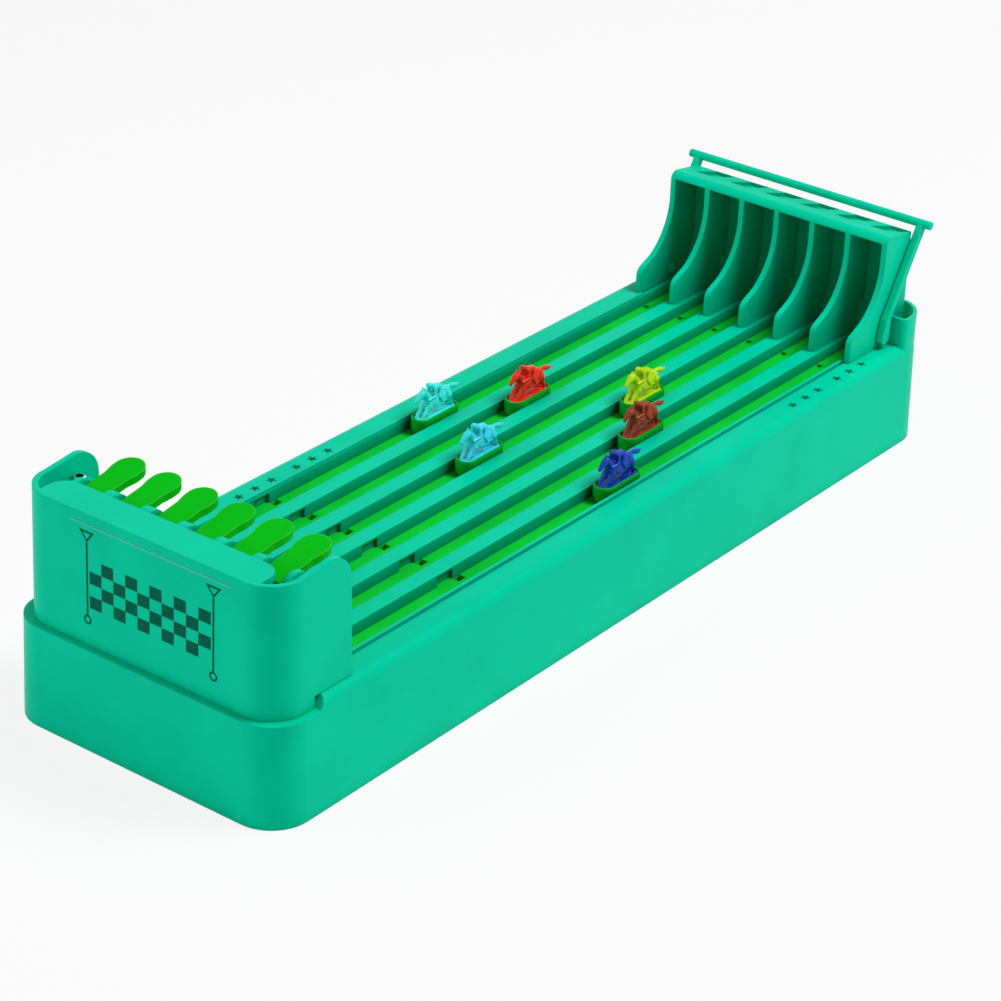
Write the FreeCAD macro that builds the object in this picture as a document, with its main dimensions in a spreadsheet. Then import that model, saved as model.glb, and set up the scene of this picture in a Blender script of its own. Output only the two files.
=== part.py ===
import FreeCAD, Part
import math
import os
import Sketcher

# Six-lane horse race game, in millimetres.
# X is across the lanes, +Y runs from the finish end to the hood, +Z is up.
# The origin is the centre of the underside.

LANES = 6

# Driving dimensions: alias, number, what it is.
DIMENSIONS = [
    ("lane_edge", 20.5, "middle of an outer lane to the housing's side"),
    ("lane_width", 10.8, "lane between its ribs"),
    ("lane_depth", 5.0, "rib top to lane floor"),
    ("deck_height", 45.4, "underside to rib tops"),
    ("base_width", 131.0, "housing across, at the underside"),
    ("base_length", 424.4, "housing along the lanes, at the underside"),
    ("base_lean", 1.1, "inward lean of the housing walls at deck height"),
    ("corner_radius", 16.3, "plan radius of the housing corners"),
    ("wall", 2.4, "housing wall and deck"),
    ("rim_rounding", 4.0, "rounding of the deck's outer edge"),
    ("shelf_height", 41.0, "underside to the low shelf under the cap"),
    ("shelf_length", 24.3, "low shelf along the lanes"),
    ("ramp_run", 3.4, "ramp from the shelf to the deck"),
    ("lane_end", 7.2, "end of the lanes to the hood's rear"),
    ("lip_width", 1.4, "raised lip beside the outer lanes"),
    ("lip_height", 0.9, "raised lip above the rib tops"),
    ("edge_strip", 2.2, "strip of the lane frame that carries the lip"),
    ("end_plate", 6.6, "lane frame's rear plate, along"),
    ("frame_foot", 2.0, "lane frame foot under the deck's edge"),
    ("foot_thickness", 1.6, "lane frame foot and tabs"),
    ("rib_core", 3.2, "hollow under each rib, across"),
    ("fit", 0.3, "clearance between pieces that drop into each other"),
    ("plate", 2.0, "lane plate and bottom cover"),
    ("slot_width", 3.2, "finish slot in each lane, across"),
    ("slot_length", 4.0, "finish slot in each lane, along"),
    ("slot_place", 127.4, "near end to the finish slots"),
    ("start_hole", 2.6, "start hole in each lane, square"),
    ("start_place", 51.9, "start holes to the rear end"),
    ("notch_depth", 1.4, "recess in the rib beside each finish slot"),
    ("notch_length", 9.0, "recess in the rib, along"),
    ("tab_width", 8.0, "tabs that the lane screws pass through"),
    ("post_inset", 6.6, "lane and cover screws to the housing's side"),
    ("post_diameter", 6.6, "cover screw posts"),
    ("lane_screw_inset", 62.2, "outer lane screws to the housing's ends"),
    ("cover_screw_inset", 17.2, "outer cover screws to the housing's ends"),
    ("screw_core", 2.2, "screw shank"),
    ("screw_head", 4.8, "screw head"),
    ("head_height", 1.4, "screw head, high"),
    ("screw_fit", 0.1, "screw shank to its hole, on the radius"),
    ("corner_rise", 12.6, "corner posts above the deck"),
    ("corner_wall", 1.6, "corner post wall"),
    ("corner_front", 20.9, "front of the corner posts to the rear end"),
    ("corner_rounding", 2.4, "rounded front corners of the corner posts"),
    ("cap_inset", 2.8, "cap inside the housing's outline"),
    ("cap_lean", 0.9, "inward lean of the cap walls"),
    ("cap_wall", 2.2, "cap wall"),
    ("cap_radius", 14.5, "plan radius of the cap corners"),
    ("cap_length", 44.1, "near end to the rear edge of the cap sides"),
    ("cap_rise", 52.2, "low shelf to the top of the cap front"),
    ("side_rise", 1.6, "cap sides above the cap front"),
    ("cap_round", 11.0, "rounding of the cap sides' rear corner"),
    ("top_depth", 15.0, "cap top shelf along the lanes"),
    ("top_thickness", 3.0, "cap top shelf"),
    ("top_pocket", 7.0, "end of the cap top shelf to the cap's inside"),
    ("column_inset", 2.7, "cap columns to the cap's inside"),
    ("column_diameter", 6.2, "cap columns"),
    ("column_rise", 42.0, "cap columns above the low shelf"),
    ("column_line", 31.5, "near end to the cap columns"),
    ("boss_rise", 9.0, "front cap bosses, high"),
    ("hole_depth", 7.5, "screw holes in bosses, posts and columns"),
    ("carrier_side", 6.3, "lever carrier to the cap's inside"),
    ("axle_place", 26.1, "near end to the lever axle"),
    ("axle_height", 83.25, "underside to the lever axle"),
    ("axle_diameter", 3.0, "lever axle"),
    ("axle_fit", 0.15, "lever bore to axle, on the radius"),
    ("hub_diameter", 8.0, "lever hub"),
    ("neck_width", 10.5, "lever at the hub"),
    ("tip_diameter", 12.2, "finger paddle"),
    ("tip_reach", 18.0, "axle to the centre of the paddle tip"),
    ("neck_reach", 11.5, "axle to where the paddle starts to widen"),
    ("shoulder_reach", 15.6, "axle to where the paddle is at full width"),
    ("paddle_rise", 4.2, "top of the paddle above the axle"),
    ("paddle_slope", 0.16, "rise of the paddle for each millimetre of reach"),
    ("paddle_thickness", 3.0, "paddle"),
    ("tail_length", 11.0, "lever tail behind the axle"),
    ("tail_width", 6.0, "lever tail"),
    ("leg_width", 7.0, "lever leg and foot"),
    ("leg_thickness", 3.0, "lever leg"),
    ("leg_face", 4.6, "leg's kicking face beyond the axle"),
    ("leg_gap", 1.2, "leg above the low shelf"),
    ("lever_gap", 1.08, "lever neck to the lugs beside it"),
    ("end_lug_width", 2.4, "carrier lugs at the ends"),
    ("lug_radius", 6.6, "rounded top of the carrier lugs"),
    ("carrier_back", 9.2, "near end to the back of the carrier"),
    ("stop_rise", 6.6, "stop bar above the deck"),
    ("cross_bar", 3.0, "carrier cross bars"),
    ("anchor_height", 60.0, "underside to the top of the spring anchor bar"),
    ("anchor_depth", 3.6, "spring anchor bar along the lanes"),
    ("spring_diameter", 4.4, "lever spring, outside"),
    ("spring_wire", 0.7, "lever spring wire"),
    ("spring_place", 8.9, "lever spring behind the axle"),
    ("ear_thickness", 3.2, "carrier ears on the cap columns"),
    ("ball_diameter", 9.0, "steel ball"),
    ("running_gap", 0.2, "rolling and sliding pieces above the lane floor"),
    ("hood_setback", 8.2, "hood's rear to the rear end"),
    ("hood_depth", 41.8, "hood along the lanes"),
    ("hood_height", 47.2, "hood's rear edge above the deck"),
    ("roof_crown", 2.4, "front of the hood's roof above its rear edge"),
    ("roof_front", 22.5, "roof's front edge to the hood's front edge"),
    ("roof", 2.8, "hood's roof"),
    ("brow_radius", 3.4, "rounded front edge of the roof"),
    ("divider", 2.5, "hood dividers and side walls"),
    ("shell", 2.3, "hood's curved back"),
    ("back_radius", 36.0, "inside curve of the hood's back"),
    ("back_knee", 22.6, "top of that curve above the deck"),
    ("front_foot_rise", 11.6, "front foot of the dividers, high"),
    ("front_foot_radius", 4.2, "rounded corner of that foot"),
    ("front_foot_corner", 2.4, "that corner along the lanes"),
    ("front_foot_depth", 9.4, "foot of the dividers, along"),
    ("front_foot_slope", 3.0, "rise of the foot's top towards the rear"),
    ("front_sweep", 28.0, "radius of the dividers' front edge"),
    ("recess_depth", 1.3, "slanted recesses in the hood's roof"),
    ("recess_length", 8.8, "slanted recesses, along"),
    ("recess_width", 9.6, "slanted recesses, across"),
    ("recess_slant", 5.5, "sideways lean of the recesses"),
    ("recess_offset", 0.5, "front of a recess to the left of its lane's middle"),
    ("hood_boss_diameter", 6.0, "screw bosses behind the hood"),
    ("hood_boss_rise", 12.0, "screw bosses behind the hood, high"),
    ("arm_gap", 0.4, "bail arm to the hood's side"),
    ("arm_width", 3.9, "bail arm, front to rear"),
    ("arm_thickness", 3.0, "bail arm, side to side"),
    ("bail_pivot_place", 19.0, "bail pivot to the hood's rear"),
    ("bail_pivot_rise", 5.0, "bail pivot above the deck"),
    ("bail_knee_place", 17.6, "bend of the bail arm to the hood's rear"),
    ("bail_knee_rise", 13.1, "bend of the bail arm above the deck"),
    ("bail_bar_place", 5.0, "bail bar behind the hood's rear"),
    ("bail_bar_rise", 2.6, "bail bar above the hood's rear edge"),
    ("bail_bar_diameter", 3.6, "bail bar"),
    ("bail_bar_end", 3.0, "end of the bail bar beyond the arm"),
    ("bail_eye", 5.4, "bail arm's eye, outside"),
    ("pin_diameter", 2.6, "bail pins"),
    ("pin_head", 4.4, "bail pin head"),
    ("pin_head_height", 0.8, "bail pin head, high"),
    ("pin_fit", 0.05, "bail pins to the hood's sides, on the radius"),
    ("cup_length", 25.0, "horse's cup, long"),
    ("cup_width", 9.0, "horse's cup, wide"),
    ("cup_height", 6.8, "horse's cup, high"),
    ("cup_wall", 1.1, "horse's cup wall"),
    ("cup_floor", 1.4, "horse's cup floor"),
    ("plinth_thickness", 3.2, "bar that the figure stands on, side to side"),
    ("plinth_height", 6.2, "bar that the figure stands on"),
]

# Where each horse stands: distance of its middle from the near end.
HORSE_PLACES = [221.6, 259.7, 205.0, 289.8, 263.9, 222.7]


class Size:
    """A number together with the sheet formula that gives it."""

    def __init__(self, value, formula):
        self.value = float(value)
        self.formula = formula

    def __add__(self, other):
        other = as_size(other)
        return Size(self.value + other.value, f"({self.formula} + {other.formula})")

    def __sub__(self, other):
        other = as_size(other)
        return Size(self.value - other.value, f"({self.formula} - {other.formula})")

    def __mul__(self, other):
        other = as_size(other)
        return Size(self.value * other.value, f"({self.formula} * {other.formula})")

    def __truediv__(self, other):
        other = as_size(other)
        return Size(self.value / other.value, f"({self.formula} / {other.formula})")

    def __radd__(self, other):
        return as_size(other) + self

    def __rsub__(self, other):
        return as_size(other) - self

    def __rmul__(self, other):
        return as_size(other) * self

    def __neg__(self):
        return Size(-self.value, f"(0 - {self.formula})")


def as_size(number):
    """Wrap a plain number, so that it can be added to a Size."""
    if isinstance(number, Size):
        return number
    return Size(number, f"({float(number)!r})")


def across(radius, rise):
    """Sideways reach of a circle at a height above or below its centre."""
    reach = math.sqrt(radius.value ** 2 - rise.value ** 2)
    formula = f"sqrt({radius.formula} * {radius.formula} - {rise.formula} * {rise.formula})"
    return Size(reach, formula)


def make_sheet(document):
    """Put the driving dimensions in a sheet and return them as Sizes by alias."""
    sheet = document.addObject("Spreadsheet::Sheet", "Sizes")
    sizes = {}
    for row, (alias, number, note) in enumerate(DIMENSIONS, start=1):
        sheet.set(f"A{row}", note)
        sheet.set(f"B{row}", str(number))
        sheet.setAlias(f"B{row}", alias)
        sizes[alias] = Size(number, f"Sizes.{alias}")
    return sizes


doc = FreeCAD.newDocument("horse_race_game")
dim = make_sheet(doc)
doc.recompute()
nodes = []

# ---------------------------------------------------------------- shared places
half_width = dim["base_width"] / 2
near_end = -dim["base_length"] / 2
rear_end = dim["base_length"] / 2
deck = dim["deck_height"]
floor = deck - dim["lane_depth"]
shelf = dim["shelf_height"]
top_half_width = half_width - dim["base_lean"]
inner_half_width = top_half_width - dim["wall"]
inner_near = near_end + dim["base_lean"] + dim["wall"]
inner_rear = rear_end - dim["base_lean"] - dim["wall"]
inner_radius = dim["corner_radius"] - dim["wall"]
ramp_foot = near_end + dim["shelf_length"]
ramp_top = ramp_foot + dim["ramp_run"]
under_shelf = shelf - dim["wall"]
under_deck = deck - dim["wall"]
hood_rear = rear_end - dim["hood_setback"]
hood_front = hood_rear - dim["hood_depth"]
lane_width = dim["lane_width"]
lane_pitch = (half_width - dim["lane_edge"]) * 2 / (LANES - 1)
lane_stop = hood_rear - dim["lane_end"]
frame_half = lane_pitch * (LANES - 1) / 2 + lane_width / 2 + dim["edge_strip"]
foot_half = frame_half + dim["frame_foot"]
frame_near = ramp_foot - dim["wall"]
frame_rear = lane_stop + dim["end_plate"]
axle_y = near_end + dim["axle_place"]
axle_z = dim["axle_height"]
hood_top = deck + dim["hood_height"]
hood_half = (lane_pitch * LANES + dim["divider"]) / 2
hood_screw_y = lane_stop + dim["end_plate"] / 2
hole_radius = dim["screw_core"] / 2 + dim["screw_fit"]
column_y = near_end + dim["column_line"]
cap_half = top_half_width - dim["cap_inset"]
cap_front = near_end + dim["base_lean"] + dim["cap_inset"]
cap_inner_half = cap_half - dim["cap_lean"] - dim["cap_wall"]
cap_inner_front = cap_front + dim["cap_lean"] + dim["cap_wall"]
cap_rear = near_end + dim["cap_length"]
front_boss_y = cap_inner_front + dim["column_diameter"] / 2 - dim["fit"]
column_x = cap_inner_half - dim["column_inset"]
lug_outer = cap_inner_half - dim["carrier_side"]
lug_inner = lug_outer - dim["end_lug_width"]
last_lever = lug_inner - dim["neck_width"] / 2 - dim["fit"] * 3
lever_pitch = last_lever * 2 / (LANES - 1)
front_boss_x = lever_pitch * (LANES - 3) / 2
post_x = half_width - dim["post_inset"]
first_screw = near_end + dim["lane_screw_inset"]
screw_step = (dim["base_length"] - dim["lane_screw_inset"] * 2) / 3
screw_lines = [first_screw + screw_step * step for step in range(4)]
cover_end = rear_end - dim["cover_screw_inset"]
cover_lines = [-cover_end, as_size(0), cover_end]


def lane_x(lane):
    """Middle of a lane, counted from 0 at the left."""
    return lane_pitch * (lane - (LANES - 1) / 2)


def lever_x(lane):
    """Middle of a lever, counted from 0 at the left."""
    return lever_pitch * (lane - (LANES - 1) / 2)


# ---------------------------------------------------------------- modelling helpers
def new_body(label):
    """An empty body that becomes one node of the assembly."""
    body = doc.addObject("PartDesign::Body", label)
    body.Label = label
    nodes.append(body)
    return body


def repeat_body(label, source):
    """A body with another body's shape and a place of its own."""
    body = new_body(label)
    copy = doc.addObject("PartDesign::FeatureBase", f"{label}_copy")
    body.Group = [copy]
    copy.BaseFeature = source
    body.Tip = copy
    return body


def move(obj, x=0, y=0, z=0):
    """Bind the place of a body or a primitive."""
    for axis, size in (("x", x), ("y", y), ("z", z)):
        obj.setExpression(f"Placement.Base.{axis}", as_size(size).formula)


def origin_plane(body, role):
    """One of the body's own origin planes."""
    return next(item for item in body.Origin.OriginFeatures if item.Role == role)


def arc_between(start, end, radius):
    """An arc from start to end: a positive radius turns left, a negative one right."""
    half = (end - start) * 0.5
    side = FreeCAD.Vector(-half.y, half.x, 0).normalize()
    rise = math.sqrt(max(radius * radius - half.Length ** 2, 0.0))
    centre = start + half + side * math.copysign(rise, radius)
    first, last = (start, end) if radius > 0 else (end, start)
    circle = Part.Circle(centre, FreeCAD.Vector(0, 0, 1), abs(radius))
    return Part.ArcOfCircle(circle, circle.parameter(first), circle.parameter(last))


def fix_point(sketch, geometry, end, x, y):
    """Hold a point of the sketch at sizes from the sheet."""
    for kind, size in (("DistanceX", x), ("DistanceY", y)):
        place = Sketcher.Constraint(kind, -1, 1, geometry, end, size.value)
        index = sketch.addConstraint(place)
        sketch.setExpression(f"Constraints[{index}]", size.formula)


def fix_radius(sketch, geometry, radius):
    """Hold the radius of a circle or an arc."""
    index = sketch.addConstraint(Sketcher.Constraint("Radius", geometry, abs(radius.value)))
    formula = radius.formula if radius.value > 0 else (-radius).formula
    sketch.setExpression(f"Constraints[{index}]", formula)


def hold_arc(sketch, arc, start, end, radius):
    """Hold an arc whose ends are held: by its radius, or a half round by its centre."""
    across = abs(end[0].value - start[0].value) > abs(end[1].value - start[1].value)
    chord = math.hypot(end[0].value - start[0].value, end[1].value - start[1].value)
    if abs(chord / 2 - abs(radius.value)) > 1e-6:
        fix_radius(sketch, arc, radius)
        return
    kind, middle = ("DistanceY", (start[1] + end[1]) / 2)
    if not across:
        kind, middle = ("DistanceX", (start[0] + end[0]) / 2)
    index = sketch.addConstraint(Sketcher.Constraint(kind, -1, 1, arc, 3, middle.value))
    sketch.setExpression(f"Constraints[{index}]", middle.formula)


def draw_outline(sketch, corners):
    """A closed outline. A corner is (x, y), or (x, y, radius) where an arc follows it."""
    points = [(as_size(corner[0]), as_size(corner[1])) for corner in corners]
    vectors = [FreeCAD.Vector(x.value, y.value, 0) for x, y in points]
    ends = []
    arcs = []
    for index, corner in enumerate(corners):
        start = vectors[index]
        end = vectors[(index + 1) % len(vectors)]
        if len(corner) == 2:
            ends.append((sketch.addGeometry(Part.LineSegment(start, end), False), 1, 2))
            continue
        radius = as_size(corner[2])
        arc = sketch.addGeometry(arc_between(start, end, radius.value), False)
        arcs.append((arc, index, radius))
        ends.append((arc, 1, 2) if radius.value > 0 else (arc, 2, 1))
    for index, (geometry, first, last) in enumerate(ends):
        following = ends[(index + 1) % len(ends)]
        sketch.addConstraint(Sketcher.Constraint(
            "Coincident", geometry, last, following[0], following[1]))
        fix_point(sketch, geometry, first, *points[index])
    for arc, index, radius in arcs:
        hold_arc(sketch, arc, points[index], points[(index + 1) % len(points)], radius)


def draw_circle(sketch, x, y, radius):
    """A full circle, held by its centre and radius."""
    x, y, radius = as_size(x), as_size(y), as_size(radius)
    centre = FreeCAD.Vector(x.value, y.value, 0)
    up = FreeCAD.Vector(0, 0, 1)
    circle = sketch.addGeometry(Part.Circle(centre, up, radius.value), False)
    fix_point(sketch, circle, 3, x, y)
    fix_radius(sketch, circle, radius)


def new_sketch(body, name, plane, height):
    """A sketch on one of the body's origin planes, lifted along its normal."""
    sketch = body.newObject("Sketcher::SketchObject", f"{body.Name}_{name}_sketch")
    sketch.AttachmentSupport = [(origin_plane(body, plane), "")]
    sketch.MapMode = "FlatFace"
    sketch.setExpression("AttachmentOffset.Base.z", as_size(height).formula)
    return sketch


def extrude(body, name, sketch, length, cut, taper=None):
    """Pad the sketch along its normal, or cut it out along its normal."""
    kind = "PartDesign::Pocket" if cut else "PartDesign::Pad"
    feature = body.newObject(kind, f"{body.Name}_{name}")
    feature.Profile = sketch
    feature.Type = "Length"
    feature.Reversed = cut
    feature.setExpression("Length", as_size(length).formula)
    if taper is not None:
        lean, height = taper
        feature.setExpression("TaperAngle", f"-atan({lean.formula} / {height.formula})")
    return feature


def prism(body, name, plane, outlines, start, end, cut=False, taper=None):
    """Outlines on a plane, made solid or cut out between two heights on its normal."""
    sketch = new_sketch(body, name, plane, start)
    for outline in outlines:
        draw_outline(sketch, outline)
    return extrude(body, name, sketch, as_size(end) - start, cut, taper)


def rounds(body, name, plane, circles, start, end, cut=False):
    """Round bars or bores, as (x, y, radius), between two heights on the normal."""
    sketch = new_sketch(body, name, plane, start)
    for circle in circles:
        draw_circle(sketch, *circle)
    return extrude(body, name, sketch, as_size(end) - start, cut)


def box_outline(x0, x1, y0, y1):
    """A rectangle as an outline."""
    return [(x0, y0), (x1, y0), (x1, y1), (x0, y1)]


def rounded_box(half, y0, y1, radius):
    """A rectangle about the middle, with four round corners."""
    return [
        (-half, y0 + radius, radius), (radius - half, y0),
        (half - radius, y0, radius), (half, y0 + radius),
        (half, y1 - radius, radius), (half - radius, y1),
        (radius - half, y1, radius), (-half, y1 - radius),
    ]


def pill(y0, y1, half):
    """A straight-sided outline with half-round ends."""
    return [
        (half, y0 + half), (half, y1 - half, half),
        (-half, y1 - half), (-half, y0 + half, half),
    ]


def disc_outline(x, y, radius):
    """A circle as two half-round arcs, so that it can join other outlines."""
    return [(x, y - radius, radius), (x, y + radius, radius)]


def fillet(body, name, radius, wanted):
    """Round the edges of the body's last feature that the test picks out."""
    doc.recompute()
    base = body.Tip
    edges = [f"Edge{number}" for number, edge in enumerate(base.Shape.Edges, start=1)
             if wanted(edge)]
    feature = body.newObject("PartDesign::Fillet", f"{body.Name}_{name}")
    feature.Base = (base, edges)
    feature.setExpression("Radius", as_size(radius).formula)
    return feature


# ---------------------------------------------------------------- track housing
POST_ANGLE = math.radians(78)


def corner_outline(side):
    """Wall of the open post round a rear corner of the hood: side is 1 or -1."""
    wall = dim["corner_wall"]
    bend = dim["corner_rounding"]
    radius = dim["corner_radius"] - dim["base_lean"] - dim["fit"] / 2
    outer_x = top_half_width - dim["fit"] / 2
    centre_x = outer_x - radius
    centre_y = rear_end - dim["base_lean"] - dim["fit"] / 2 - radius
    front = rear_end - dim["corner_front"]
    start_x = hood_half + dim["fit"] * 2
    inner_radius = radius - wall
    cosine, sine = math.cos(POST_ANGLE), math.sin(POST_ANGLE)
    return [
        (side * start_x, front), (side * (outer_x - bend), front, side * bend),
        (side * outer_x, front + bend), (side * outer_x, centre_y, side * radius),
        (side * (centre_x + radius * cosine), centre_y + radius * sine),
        (side * (centre_x + inner_radius * cosine), centre_y + inner_radius * sine,
         side * -inner_radius),
        (side * (outer_x - wall), centre_y),
        (side * (outer_x - wall), front + bend, side * (wall - bend)),
        (side * (outer_x - bend), front + wall), (side * start_x, front + wall)]


def make_housing():
    body = new_body("track_housing")
    over = dim["wall"] * 4
    outline = rounded_box(half_width, near_end, rear_end, dim["corner_radius"])
    prism(body, "walls", "XY_Plane", [outline], 0, deck, taper=(dim["base_lean"], deck))
    prism(body, "step", "YZ_Plane", [[
        (near_end - over, shelf), (ramp_foot, shelf), (ramp_top, deck),
        (ramp_top, deck + over), (near_end - over, deck + over)]],
        -half_width - over, half_width + over, cut=True)
    fillet(body, "rim", dim["rim_rounding"], is_deck_rim)
    low = rounded_box(inner_half_width, inner_near, inner_rear, inner_radius)
    prism(body, "low_hollow", "XY_Plane", [low], 0, under_shelf, cut=True)
    high = [(-inner_half_width, ramp_top), (inner_half_width, ramp_top),
            (inner_half_width, inner_rear - inner_radius, inner_radius),
            (inner_half_width - inner_radius, inner_rear),
            (inner_radius - inner_half_width, inner_rear, inner_radius),
            (-inner_half_width, inner_rear - inner_radius)]
    prism(body, "high_hollow", "XY_Plane", [high], under_shelf, under_deck, cut=True)
    opening = box_outline(-frame_half - dim["fit"], frame_half + dim["fit"],
                          frame_near - dim["fit"], frame_rear + dim["fit"])
    prism(body, "opening", "XY_Plane", [opening], under_shelf, deck + over, cut=True)
    radius = dim["post_diameter"] / 2
    for name, lines, top in (("near_posts", cover_lines[:1], under_shelf),
                             ("posts", cover_lines[1:], under_deck)):
        spots = [(side * post_x, y, radius) for side in (-1, 1) for y in lines]
        rounds(body, name, "XY_Plane", spots, dim["plate"], top)
    lane_spots = [(side * post_x, y) for side in (-1, 1) for y in screw_lines]
    tab_top = floor + dim["foot_thickness"]
    rounds(body, "lane_bosses", "XY_Plane", [spot + (radius,) for spot in lane_spots],
           tab_top, under_deck)
    rounds(body, "lane_holes", "XY_Plane", [spot + (hole_radius,) for spot in lane_spots],
           tab_top, tab_top + dim["wall"], cut=True)
    cover_spots = [(side * post_x, y, hole_radius)
                   for side in (-1, 1) for y in cover_lines]
    rounds(body, "cover_holes", "XY_Plane", cover_spots, dim["plate"],
           dim["plate"] + dim["hole_depth"], cut=True)
    cap_spots = [(side * column_x, column_y, hole_radius) for side in (-1, 1)]
    cap_spots += [(side * front_boss_x, front_boss_y, hole_radius)
                  for side in (-1, 1)]
    rounds(body, "cap_holes", "XY_Plane", cap_spots, under_shelf - dim["fit"],
           deck + dim["fit"], cut=True)
    for side, name in ((1, "right_post"), (-1, "left_post")):
        prism(body, name, "XY_Plane", [corner_outline(side)], under_deck - dim["wall"],
              deck + dim["corner_rise"])
    return body


def is_deck_rim(edge):
    """Edges round the top of the deck, but not the top of the ramp."""
    box = edge.BoundBox
    on_top = box.ZMin > deck.value - 0.01
    return on_top and not (box.YLength < 0.01 and box.YMax < 0)


# ---------------------------------------------------------------- lanes
def tab_outlines():
    """Tabs that reach under the lane bosses, on both sides."""
    outlines = []
    half = dim["tab_width"] / 2
    inner = foot_half - dim["frame_foot"]
    outer = inner_half_width - dim["fit"]
    for y in screw_lines:
        outlines.append(box_outline(inner, outer, y - half, y + half))
        outlines.append(box_outline(-outer, -inner, y - half, y + half))
    return outlines


def lane_spots(radius):
    """Screw places on the tabs, as circles."""
    return [(side * post_x, y, radius) for side in (-1, 1) for y in screw_lines]


def make_lane_frame():
    body = new_body("lane_frame")
    over = dim["wall"] * 4
    foot_near = column_y + dim["screw_head"]
    foot_top = floor + dim["foot_thickness"]
    prism(body, "deck", "XY_Plane",
          [box_outline(-frame_half, frame_half, ramp_foot, frame_rear)], floor, deck)
    prism(body, "ramp", "YZ_Plane", [[
        (ramp_foot - over, shelf), (ramp_foot, shelf), (ramp_top, deck),
        (ramp_top, deck + over), (ramp_foot - over, deck + over)]],
        -frame_half - over, frame_half + over, cut=True)
    prism(body, "foot", "XY_Plane",
          [box_outline(-foot_half, foot_half, foot_near, frame_rear)], floor, foot_top)
    for index, outline in enumerate(tab_outlines()):
        prism(body, f"tab_{index + 1}", "XY_Plane", [outline], floor, foot_top)
    sill = ramp_foot + dim["plate"]
    prism(body, "sill", "YZ_Plane", [[
        (frame_near, under_shelf), (sill, under_shelf), (sill, floor + dim["fit"]),
        (ramp_foot, floor + dim["fit"]), (ramp_foot, shelf), (frame_near, shelf)]],
        -frame_half, frame_half)
    lanes = [box_outline(lane_x(lane) - lane_width / 2, lane_x(lane) + lane_width / 2,
                         ramp_foot, lane_stop) for lane in range(LANES)]
    prism(body, "lanes", "XY_Plane", lanes, floor, deck + over, cut=True)
    lip_outer = frame_half - dim["fit"]
    lip_inner = lip_outer - dim["lip_width"]
    lips = [box_outline(lip_inner, lip_outer, ramp_top, hood_front - dim["fit"]),
            box_outline(-lip_outer, -lip_inner, ramp_top, hood_front - dim["fit"])]
    prism(body, "lips", "XY_Plane", lips, deck, deck + dim["lip_height"])
    cores = []
    for rib in range(1, LANES):
        middle = (lane_x(rib - 1) + lane_x(rib)) / 2
        half = dim["rib_core"] / 2
        cores.append(box_outline(middle - half, middle + half,
                                 ramp_top + dim["wall"], lane_stop - dim["wall"]))
    prism(body, "cores", "XY_Plane", cores, floor, under_deck, cut=True)
    finish = near_end + dim["slot_place"]
    notches = []
    for lane in range(LANES):
        edge = lane_x(lane) - lane_width / 2
        notches.append(box_outline(edge - dim["notch_depth"], edge,
                                   finish - dim["notch_length"], finish))
    prism(body, "notches", "XY_Plane", notches, floor, deck - dim["lip_height"], cut=True)
    rounds(body, "tab_holes", "XY_Plane", lane_spots(hole_radius), floor, foot_top, cut=True)
    rounds(body, "hood_holes", "XY_Plane", hood_screw_spots(hole_radius), floor, deck,
           cut=True)
    return body


def hood_screw_spots(radius):
    """Screw places behind the hood, as circles."""
    return [(lane_pitch * step, hood_screw_y, radius) for step in (-2, 0, 2)]


def make_lane_plate():
    body = new_body("lane_plate")
    front = ramp_foot + dim["plate"] + dim["fit"]
    wide_front = ramp_top + dim["fit"]
    base = floor - dim["plate"]
    prism(body, "sheet", "XY_Plane",
          [box_outline(-foot_half, foot_half, wide_front, lane_stop)], base, floor)
    prism(body, "near_edge", "XY_Plane",
          [box_outline(-frame_half, frame_half, front, wide_front)], base, floor)
    for index, outline in enumerate(tab_outlines()):
        prism(body, f"tab_{index + 1}", "XY_Plane", [outline], base, floor)
    holes = []
    finish = near_end + dim["slot_place"]
    start = rear_end - dim["start_place"]
    for lane in range(LANES):
        edge = lane_x(lane) - lane_width / 2
        holes.append(box_outline(edge, edge + dim["slot_width"],
                                 finish, finish + dim["slot_length"]))
        holes.append(box_outline(edge + dim["fit"], edge + dim["fit"] + dim["start_hole"],
                                 start, start + dim["start_hole"]))
    prism(body, "slots", "XY_Plane", holes, base, floor, cut=True)
    rounds(body, "tab_holes", "XY_Plane", lane_spots(hole_radius), base, floor, cut=True)
    return body


def make_bottom_cover():
    body = new_body("bottom_cover")
    gap = dim["fit"]
    outline = rounded_box(inner_half_width - gap, inner_near + gap, inner_rear - gap,
                          inner_radius - gap)
    prism(body, "sheet", "XY_Plane", [outline], 0, dim["plate"])
    spots = [(side * post_x, y) for side in (-1, 1) for y in cover_lines]
    rounds(body, "head_seats", "XY_Plane",
           [spot + (dim["screw_head"] / 2 + gap / 2,) for spot in spots],
           0, dim["head_height"], cut=True)
    rounds(body, "holes", "XY_Plane", [spot + (hole_radius,) for spot in spots],
           0, dim["plate"], cut=True)
    return body


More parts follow.
